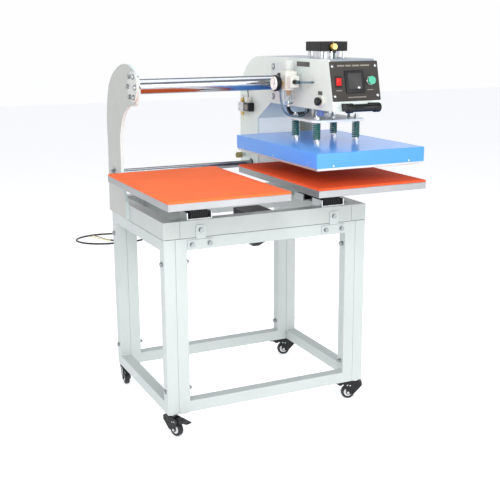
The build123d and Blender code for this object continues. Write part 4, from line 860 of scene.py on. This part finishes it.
def make_cylinder():
    """Air cylinder: bright barrel, black caps, tie rods with nuts."""
    low, high = lo("air_cylinder"), hi("air_cylinder")
    cap_low, cap_high = low.z + 30.1, high.z - 31.1

    def radius(c):
        return math.hypot(c.x - HX, c.y - HY)

    def is_rod(c, n):
        return math.hypot(abs(c.x - HX) - ROD_OUT, abs(c.y - HY) - ROD_OUT) < 4.85

    def is_barrel(c, n):
        return not is_rod(c, n) and cap_low < c.z < cap_high + 1 and radius(c) < 45.3

    carve("air_cylinder", "cylinder_tie_rods", "bolt_zinc", is_rod, smooth=40)
    carve("air_cylinder", "cylinder_barrel", "barrel", is_barrel, smooth=30)
    carve("air_cylinder", "cylinder_caps", "black_box", other_than(is_rod, is_barrel),
          bevel=0.0012)
    bm = bmesh.new()
    # Dark plugs sunk in the tie-rod holes of the top cap: painted shade in the holes.
    for a, b in CORNERS:
        spot = (HX + a * ROD_OUT, HY + b * ROD_OUT, high.z)
        lathe(bm, [(3.4, -5), (3.4, -2.6), (TIP, -2.6)], spot, Z_AXIS, 6)
    finish_mesh("tie_rod_sockets", bm, "gap_painted_shade", "head")


def make_fittings():
    """Brass fittings on the valve and the cylinder cap, black push fittings on the regulator."""
    def on_valve(c, n):
        return c.x < HEAD_L - 2 and c.y > lo("solenoid_valve").y

    def is_push(c, n):
        return c.y < lo("regulator_body").y + 16.5 and c.z < CAP.z - 12

    carve("air_fittings", "valve_fittings", "brass", on_valve, bevel=0.0004)
    carve("air_fittings", "push_fittings", "black_plastic", is_push, bevel=0.0004)
    carve("air_fittings", "brass_fittings", "brass", other_than(on_valve, is_push), bevel=0.0004)
    collar = [(9.6, 13), (10.4, 13.4), (10.4, 15.6), (9.6, 16)]
    lathed("fitting_collar", collar, CAP - Y_AXIS * 52.5, -Y_AXIS, "brass", "head", steps=36)


TUBE_R = 3.9


def make_tubes():
    """Clear bluish air tubes, and the black corrugated loom under the arm."""
    elbow = CAP - Y_AXIS * 64.5
    drop = [elbow - Z_AXIS * down for down in (20, 28, 38)]
    cap_tube = pipe("cap_tube", drop, TUBE_R, "teal_tube", "head")
    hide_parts("air_tubes")
    x, y, z = REG.x - 4, REG.y, REG.z + 22
    outlet = [(x, y - 73, z), (x, y - 82, z), (x + 8, y - 88, z), (x + 20, y - 90, z - 1),
              (HEAD_L, y - 90, z - 1)]
    pipe("outlet_tube", outlet, TUBE_R, "tube_clear", "head", steps=16)
    sleeve = [(4.1, -1), (6.0, -1), (6.2, 0), (6.2, 7), (5.6, 8), (4.1, 8)]
    lathed("outlet_sleeve", sleeve, (x, y - 73, z), -Y_AXIS, "teal_tube", "head", 36)
    feed = [(0, 39, 22), (0, 58, 22), (2, 66, -10), (4, 64, -50), (8, 50, -82), (22, 30, -98), (45, 14, -98),
            (68, 8, -94), (71, 7, -84), (71, 7, ARM_B - REG.z)]
    route = [REG + Vector(step) for step in feed]
    pipe("feed_tube", route, TUBE_R, "tube_clear", "head", steps=16)
    make_loom()


def make_loom():
    """Corrugated loom: rings of changing radius along a smooth path."""
    x = HX - 52
    route = [(0, 82, 2), (0, 82, -16), (1, 66, -32), (3, 34, -36), (6, 2, -30), (9, -28, -27),
             (10, -48, -14), (10, -48, 2)]
    points = [(x + aside, y, ARM_B + up) for aside, y, up in route]
    guide = pipe("loom_guide", points, 0.0, "black_rubber", "head", steps=24)
    mesh = bpy.data.meshes.new_from_object(guide)
    line = [v.co.copy() for v in mesh.vertices]
    bpy.data.objects.remove(guide)
    bpy.data.meshes.remove(mesh)
    bm = bmesh.new()
    total = [0.0]
    for a, b in zip(line, line[1:]):
        total.append(total[-1] + (b - a).length)
    step = 0.0009
    count = int(total[-1] / step)
    rings = []
    k = 0
    for i in range(count + 1):
        d = min(i * step, total[-1] - 1e-6)
        while total[k + 1] < d:
            k += 1
        here = line[k].lerp(line[k + 1], (d - total[k]) / max(1e-9, total[k + 1] - total[k]))
        ahead = (line[k + 1] - line[k]).normalized()
        side = ahead.cross(X_AXIS).normalized()
        r = 0.0068 if (i // 2) % 2 else 0.0060
        ring = []
        for j in range(20):
            a = j * math.pi / 10
            ring.append(bm.verts.new(here + (X_AXIS * math.cos(a) + side * math.sin(a)) * r))
        rings.append(ring)
    bridge(bm, rings)
    finish_mesh("cable_loom", bm, "black_rubber", "head", smooth=60)


def make_regulator():
    """White filter-regulator with its bracket, bowl, element and drain."""
    def is_bracket(c, n):
        return c.x > REG.x + 22.1

    carve("regulator_body", "regulator_case", "white_plastic", other_than(is_bracket), bevel=0.0008)
    carve("regulator_body", "regulator_bracket", "nickel", is_bracket, bevel=0.0008)
    dress("regulator_knob", "knob_plastic", 0.0003)
    bm = bmesh.new()
    lathe(bm, [(20.6, 0.3), (21.4, -0.6), (21.4, -5.6), (20.6, -6.4)], REG, Z_AXIS, 48)
    neck = hi("regulator_body").z - 2.1
    for k in range(3):
        ring = [(16.5, 0), (17.3, 0.5), (17.3, 1.6), (16.5, 2.1)]
        lathe(bm, ring, (REG.x, REG.y, neck - 2.4 * k), Z_AXIS, 40)
    finish_mesh("regulator_rings", bm, "white_plastic", "head")
    bm = bmesh.new()
    wall = [(19.8, -6.4), (19.8, -40), (18.6, -46), (15.2, -51.5), (9, -54.4), (4.5, -55), (4.5, -52.6),
            (8, -52.2), (13, -49.4), (16.2, -44.5), (17.4, -39), (17.4, -6.4), (19.8, -6.4)]
    lathe(bm, wall, REG, Z_AXIS, 56)
    open_ends(bm)
    bmesh.ops.remove_doubles(bm, verts=bm.verts, dist=1e-6)
    bmesh.ops.recalc_face_normals(bm, faces=bm.faces)
    bowl = finish_mesh("clear_bowl", bm, "bowl_clear", "head", smooth=40)
    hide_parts("filter_bowl")

    def ribs(a):
        return 1 + 0.03 * math.sin(a * 18)

    element = [(8.4, -1), (8.4, -20), (7.2, -23), (4, -24.5), (TIP, -24.5)]
    lathed("filter_element", element, REG, Z_AXIS, "copper_element", "head", 72, 30, ribs)
    drain = [(2.6, -46), (4.4, -50), (4.4, -56), (5, -57), (5, -61.5), (3, -62.5), (TIP, -62.5)]
    lathed("bowl_drain", drain, REG, Z_AXIS, "nickel", "head")
    lathed("bowl_centre_rod", [(1.6, -24), (1.6, -50)], REG, Z_AXIS, "nickel", "head", 16)


def make_gauge():
    """Pressure gauge: rolled case, flange, white dial with ticks, lens and stem."""
    face = Vector((lo("pressure_gauge").x, REG.y, middle("pressure_gauge").z))
    case = [(22.0, 4.2), (26.4, 4.6), (27, 5.1), (27, 9.4), (26.4, 10.0), (24.6, 10.3), (24.4, 11),
            (24.4, 12.4), (23.8, 12.8), (24.4, 13.2), (24.4, 19.4), (23, 21.6), (17, 22), (TIP, 22)]
    bm = lathe(bmesh.new(), case, face, X_AXIS, 64)
    open_ends(bm)
    ring = [(19.9, 6.6), (19.9, 0.4), (20.4, 0), (21.6, 0.2), (22, 1.0), (22, 4.4)]
    lathed("gauge_ring", ring, face, X_AXIS, "dial_white", "head", 64)
    body = finish_mesh("gauge_case", bm, "black_plastic", "head")
    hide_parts("pressure_gauge")
    stem = [(7, 22), (7, 25), (8.6, 25.4), (8.6, 31), (7, 31.4), (7, 36)]
    lathed("gauge_stem", stem, face, X_AXIS, "brass", "head", steps=6)
    dial = [(TIP, 6.6), (12, 6.65), (19.8, 6.8), (19.8, 7.6)]
    lathed("gauge_dial", dial, face, X_AXIS, "dial_white", "head", 64)
    lens = [(TIP, 0.3), (10, 0.42), (19.8, 1.2), (19.8, 2.2), (10, 1.6), (TIP, 1.5)]
    lathed("gauge_lens", lens, face, X_AXIS, "lens_clear", "head", 64)
    make_ticks(face + X_AXIS * 6.45)
    dress("gauge_needle", "needle_black")
    lathed("gauge_spindle", [(0.95, 3.6), (0.95, 6.7)], face, X_AXIS, "nickel", "head", 20)


def make_ticks(centre):
    """Flat black ticks round the dial, every fifth one longer and wider."""
    bm = bmesh.new()
    for i in range(31):
        a = math.radians(-135 + 270 * i / 30)
        major = i % 5 == 0
        inner, outer, half = (13.2 if major else 15.4), 17.6, (0.42 if major else 0.2)
        u = Vector((0, -math.sin(a), math.cos(a)))
        v = Vector((0, math.cos(a), math.sin(a)))
        quad = [centre + u * inner - v * half, centre + u * outer - v * half, centre + u * outer + v * half,
                centre + u * inner + v * half]
        bm.faces.new([bm.verts.new(p / 1000) for p in quad])
    finish_mesh("gauge_ticks", bm, "black_plastic", "head")


def make_valve():
    """Solenoid valve: die-cast body, black coil, white connector with its lead."""
    y1 = hi("solenoid_valve").y
    y0 = y1 - 48
    top = hi("solenoid_valve").z - 21
    face = HEAD_L - 25

    def is_coil(c, n):
        return c.y < y0 - 0.05 and c.z < top + 1.2

    def is_plug(c, n):
        return c.z > top + 1.2

    carve("solenoid_valve", "valve_body", "valve", other_than(is_coil, is_plug), bevel=0.0008)
    carve("solenoid_valve", "valve_coil", "black_plastic", is_coil, bevel=0.0006)
    carve("solenoid_valve", "valve_plug", "white_plastic", is_plug, bevel=0.0006)
    bm = bmesh.new()
    for y in (y0 + 8, y1 - 8):
        for z in (top - 26, top - 8):
            lathe(bm, [(2.8, -0.4), (2.8, 1.6), (2.2, 2.2), (TIP, 2.3)], (face, y, z), -X_AXIS, 24)
    finish_mesh("valve_screws", bm, "bolt_zinc", "head")
    bm = bmesh.new()
    slab(bm, (face - 0.6, y0 - 36, top - 26), (face + 0.4, y0 - 10, top - 6), 0.4, 1)
    finish_mesh("coil_label", bm, "panel_mark", "head")
    lead = [(HEAD_L - 12, y0 - 17, top + 20), (HEAD_L - 12, y0 - 17, top + 34),
            (HEAD_L - 10, y0 - 4, top + 46), (HEAD_L - 5, y0 + 6, top + 44), (HEAD_L + 1, y0 + 10, top + 38)]
    pipe("valve_lead", lead, 1.6, "black_rubber", "head", steps=12)
    elbow = [(4.2, 0), (4.2, 8), (5.4, 8.4), (5.4, 12), (4.6, 12.6)]
    lathed("valve_elbow", elbow, (HEAD_L - 13, y1 - 14, top + 15), (0.0, -0.6, 0.8), "nickel", "head",
           24)
    tail = [(face + 10, y1 - 14, top - 34), (face + 10, y1 - 16, top - 44), (face + 9, y1 - 26, top - 50),
            (face + 8, y1 - 22, top - 60), (face + 10, y1 - 30, top - 68)]
    pipe("valve_tail", tail, 1.0, "core_yellow", "head", steps=12)
    y, z = lo("solenoid_valve").y + 1, ARM_B - 164
    hose = [(HEAD_L - 1, y, z), (HEAD_L - 9, y, z - 1), (HEAD_L - 12, y - 9, z - 7),
            (HEAD_L - 10, y - 23, z - 13), (HEAD_L - 2, y - 31, z - 15), (HEAD_L + 12, y - 33, z - 16)]
    pipe("column_hose", hose, 4, "black_rubber", "head", steps=12)


def make_panel():
    """Control panel: overlay with blank printed bars, screws, screen, switch and button."""
    def is_plate(c, n):
        return (c - PANEL_O).dot(PANEL_N) < 3.05

    carve("control_panel", "panel_plate", "panel_grey", is_plate, bevel=0.0005)
    bm = bmesh.new()
    screw = [(4.6, 0.0), (4.6, 0.9), (3.6, 1.9), (1.6, 2.5), (1.2, 1.6), (TIP, 1.4)]
    for a, b in CORNERS:
        piece = lathe(bmesh.new(), screw, (0, 0, 0), Z_AXIS, 28)
        join_bm(bm, piece, on_panel(a * 80, b * 48, 2.9))
    finish_mesh("panel_screws", bm, "bolt_zinc", "head")
    bm = bmesh.new()
    marks = [(-62, 47, 26, 5), (-32, 47, 20, 5), (-7, 47, 27, 5), (24, 47, 34, 5), (-33, -54, 68, 3.4),
             (-73, -31, 19, 3.0), (42, -31, 22, 2.6)]
    for x, up, w, h in marks:
        join_bm(bm, slab(bmesh.new(), (0, 0, 0), (w, h, 0.12)), on_panel(x, up, 3.0))
    finish_mesh("panel_marks", bm, "panel_mark", "head")

    def is_display(c, n):
        deep = (c - PANEL_O).dot(PANEL_N)
        return n.dot(PANEL_N) > 0.9 and 6.5 < deep < 7.5

    carve("touch_screen", "screen_bezel", "screen", other_than(is_display), bevel=0.0007)
    carve("touch_screen", "screen_display", "display", is_display)
    bm = bmesh.new()
    join_bm(bm, slab(bmesh.new(), (8, -24, 0), (16, -19, 0.3), 0.1, 1), on_panel(-3.5, -1, 8.0))
    finish_mesh("screen_key", bm, "dial_white", "head")
    start = panel_at(*START)

    def is_ring(c, n):
        return (c - start).length < 20

    def is_side(c, n):
        return c.x < HEAD_L + 0.5

    carve("button_bezels", "start_bezel", "bezel", is_ring, bevel=0.0008)
    carve("button_bezels", "side_bezel", "white_plastic", is_side, bevel=0.001)
    carve("button_bezels", "rocker_frame", "black_plastic", other_than(is_ring, is_side), bevel=0.0005)
    dress("rocker_switch", "red_plastic", 0.0005)
    dress("start_button", "green_plastic")
    dress("side_button", "black_plastic")


def make_handle():
    """Round handle bar with bulged end mounts and end plugs."""
    dress("handle", "black_plastic", 0.0006)
    low, high = lo("handle"), hi("handle")
    bar_y, bar_z = low.y + 15.5, middle("handle").z
    bm = bmesh.new()
    plug = [(9.5, -1.2), (9.5, 0.2), (8.5, 0.9), (3.4, 1.0), (3.0, 0.2), (TIP, 0.1)]
    for x, way in ((low.x + 1, -1), (high.x - 1, 1)):
        lathe(bm, plug, (x, bar_y, bar_z), (way, 0, 0), 36)
    finish_mesh("handle_plugs", bm, "black_rubber", "head")
    bm = bmesh.new()
    screw = [(3.6, -0.8), (3.6, 0.6), (2.2, 1.1), (1.8, 0.3), (TIP, 0.3)]
    for x in (HX - 50, HX + 50):
        lathe(bm, screw, (x, low.y + 0.4, bar_z + 2), (0, -1, 0.1), 20)
    finish_mesh("handle_screws", bm, "black_caster", "head")


def make_labels():
    """Blank plates on the left side of the head, and the blue cable connector under the arm."""
    front, top = lo("head_left_plate").y, hi("head_left_plate").z
    bm = bmesh.new()
    for y, z, wide, high in ((front + 161.5, top - 27.3, 89, 16), (front + 74.5, top - 114.3, 27, 12)):
        slab(bm, (HEAD_L - 1.1, y, z), (HEAD_L + 0.2, y + wide, z + high), 0.45, 1)
    finish_mesh("blank_plates", bm, "label", "head")
    x, y = HX - 69.5, front + 119.5
    bm = bmesh.new()
    slab(bm, (x - 10, y - 10, ARM_B - 22), (x + 8, y + 12, ARM_B), 2.0, 2)
    finish_mesh("blue_connector", bm, "blue_plastic", "head")
    lead = [(x + 6, y + 12, ARM_B - 13), (x + 8, y + 21, ARM_B - 13), (x + 12, y + 28, ARM_B - 7),
            (x + 13, y + 30, ARM_B + 3)]
    pipe("connector_lead", lead, 2.4, "black_rubber", "head")


# Press and heater

def make_press():
    """Rod, carrier plate, heater and springs."""
    dress("press_rods", "chrome_shaft", 0.0003)
    rest = hi("springs").z

    def is_plate(c, n):
        return rest - 0.05 < c.z < rest + 8.05

    carve("carrier_plate", "carrier", "carrier_steel", is_plate, bevel=0.0004)
    carve("carrier_plate", "carrier_nuts", "bolt_zinc", other_than(is_plate), bevel=0.0006)

    def is_painted_light_top(c, n):
        return n.z > 0.9

    # The heater's top faces take the brighter copy of the blue paint, as painted light.
    carve("heater_cover", "heater_top_painted_light", "blue_top_painted_light", is_painted_light_top)
    carve("heater_cover", "heater_walls", "blue_cover", other_than(is_painted_light_top))
    dress("heating_plate", "cast_aluminium")
    dress("heater_studs", "bolt_zinc", 0.0004)
    bm = bmesh.new()
    low, high = lo("heater_cover"), hi("heater_cover")
    for y in (low.y + 60, (low.y + high.y) / 2, high.y - 60):
        for x, way in ((low.x, -1), (high.x, 1)):
            lathe(bm, PAN_HEAD, (x, y, low.z + 6), (way, 0, 0), 20)
    for x in (low.x + 60, high.x - 60):
        for y, way in ((low.y, -1), (high.y, 1)):
            lathe(bm, PAN_HEAD, (x, y, low.z + 6), (0, way, 0), 20)
    finish_mesh("cover_screws", bm, "bolt_zinc", "heater")
    make_springs()


def coil(bm, x, y, low, high, turns=8.5, steps=28):
    """Flat-section helix between two heights in mm, with its end turns ground flat."""
    half_h, half_r, radius = 2.75, 2.6, 10.8
    count = int(turns * steps)
    rings = []
    for i in range(count + 1):
        t = i / count
        a = 2 * math.pi * turns * t
        ease = min(1.0, t * turns / 0.8, (1 - t) * turns / 0.8)
        z = low + half_h + (high - low - 2 * half_h) * t
        squeeze = half_h * (0.55 + 0.45 * ease)
        ring = []
        for k in range(10):
            b = 2 * math.pi * k / 10
            out = radius + half_r * math.copysign(abs(math.cos(b)) ** 0.6, math.cos(b))
            up = squeeze * math.copysign(abs(math.sin(b)) ** 0.6, math.sin(b))
            ring.append(bm.verts.new(mm(x + out * math.cos(a), y + out * math.sin(a), z + up)))
        rings.append(ring)
    bridge(bm, rings)
    close_ends(bm, rings)
    bmesh.ops.recalc_face_normals(bm, faces=bm.faces)


def make_springs():
    """Green die springs, each with a mesh of its own, riding on the press."""
    low, high = lo("springs").z, hi("springs").z
    for (a, b), corner in zip(CORNERS, ("lf", "lb", "rf", "rb")):
        x, y = HX + a * STUD_X, HY + b * STUD_Y
        bm = bmesh.new()
        coil(bm, x, y, low, high)
        spring = finish_mesh(f"spring_{corner}", bm, "spring_green", "press", smooth=50)
        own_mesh(spring)
        if corner == "lf":
            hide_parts("springs")


# Studio

def studio():
    """Pale floor, soft lights and a near-white surround."""
    scene = bpy.context.scene
    scene.view_settings.view_transform = "Standard"
    mat, tree, shader = new_material("studio_floor")
    tone = spread(tree, noise(tree, 1.5, 2.0), 0.0, 1.0)
    put(tree, shader, {"Base Color": mix(tree, tone, (0.93, 0.93, 0.93), (0.95, 0.95, 0.95)),
                       "Roughness": 0.8, "Emission Color": (0.97, 0.98, 1.0), "Emission Strength": 0.5})
    bm = bmesh.new()
    bmesh.ops.create_grid(bm, x_segments=1, y_segments=1, size=14)
    mesh = bpy.data.meshes.new("studio_floor")
    bm.to_mesh(mesh)
    bm.free()
    mesh.materials.append(mat)
    floor = bpy.data.objects.new("studio_floor", mesh)
    scene.collection.objects.link(floor)
    world = bpy.data.worlds.new("studio")
    world.use_nodes = True
    tree = world.node_tree
    place = tree.nodes.new("ShaderNodeTexCoord")
    split = tree.nodes.new("ShaderNodeSeparateXYZ")
    put(tree, split, {"Vector": place.outputs["Generated"]})
    height = spread(tree, split.outputs["Z"], 0.0, 1.0, 0.12, 0.75)
    put(tree, tree.nodes["Background"], {"Color": mix(tree, height, (0.99, 0.99, 1.0), (0.30, 0.31, 0.34))})
    scene.world = world
    aim = Vector((0, 0.0, 0.7))
    lights = [
        ("key", (1.4, -4.5, 1.95), 2.8, 84, (1.0, 1.0, 0.99)),
        ("fill", (-2.9, -1.8, 2.4), 2.0, 14, (1.0, 0.97, 0.92)),
        ("top", (0.2, 0.0, 4.0), 3.0, 44, (0.98, 0.99, 1.0)),
        ("rim", (-2.2, 3.0, 2.6), 2.0, 8, (1.0, 1.0, 1.0)),
        ("head", (-0.9, -1.5, 1.8), 0.9, 15, (0.98, 1.0, 0.99)),
    ]
    for name, place, size, power, colour in lights:
        data = bpy.data.lights.new(name, "AREA")
        data.shape = "DISK"
        data.size = size
        data.energy = power
        data.color = colour
        lamp = bpy.data.objects.new(name, data)
        lamp.location = place
        lamp.rotation_euler = (aim - Vector(place)).to_track_quat("-Z", "Y").to_euler()
        scene.collection.objects.link(lamp)


make_stand()
make_casters()
make_head()
make_press()
studio()
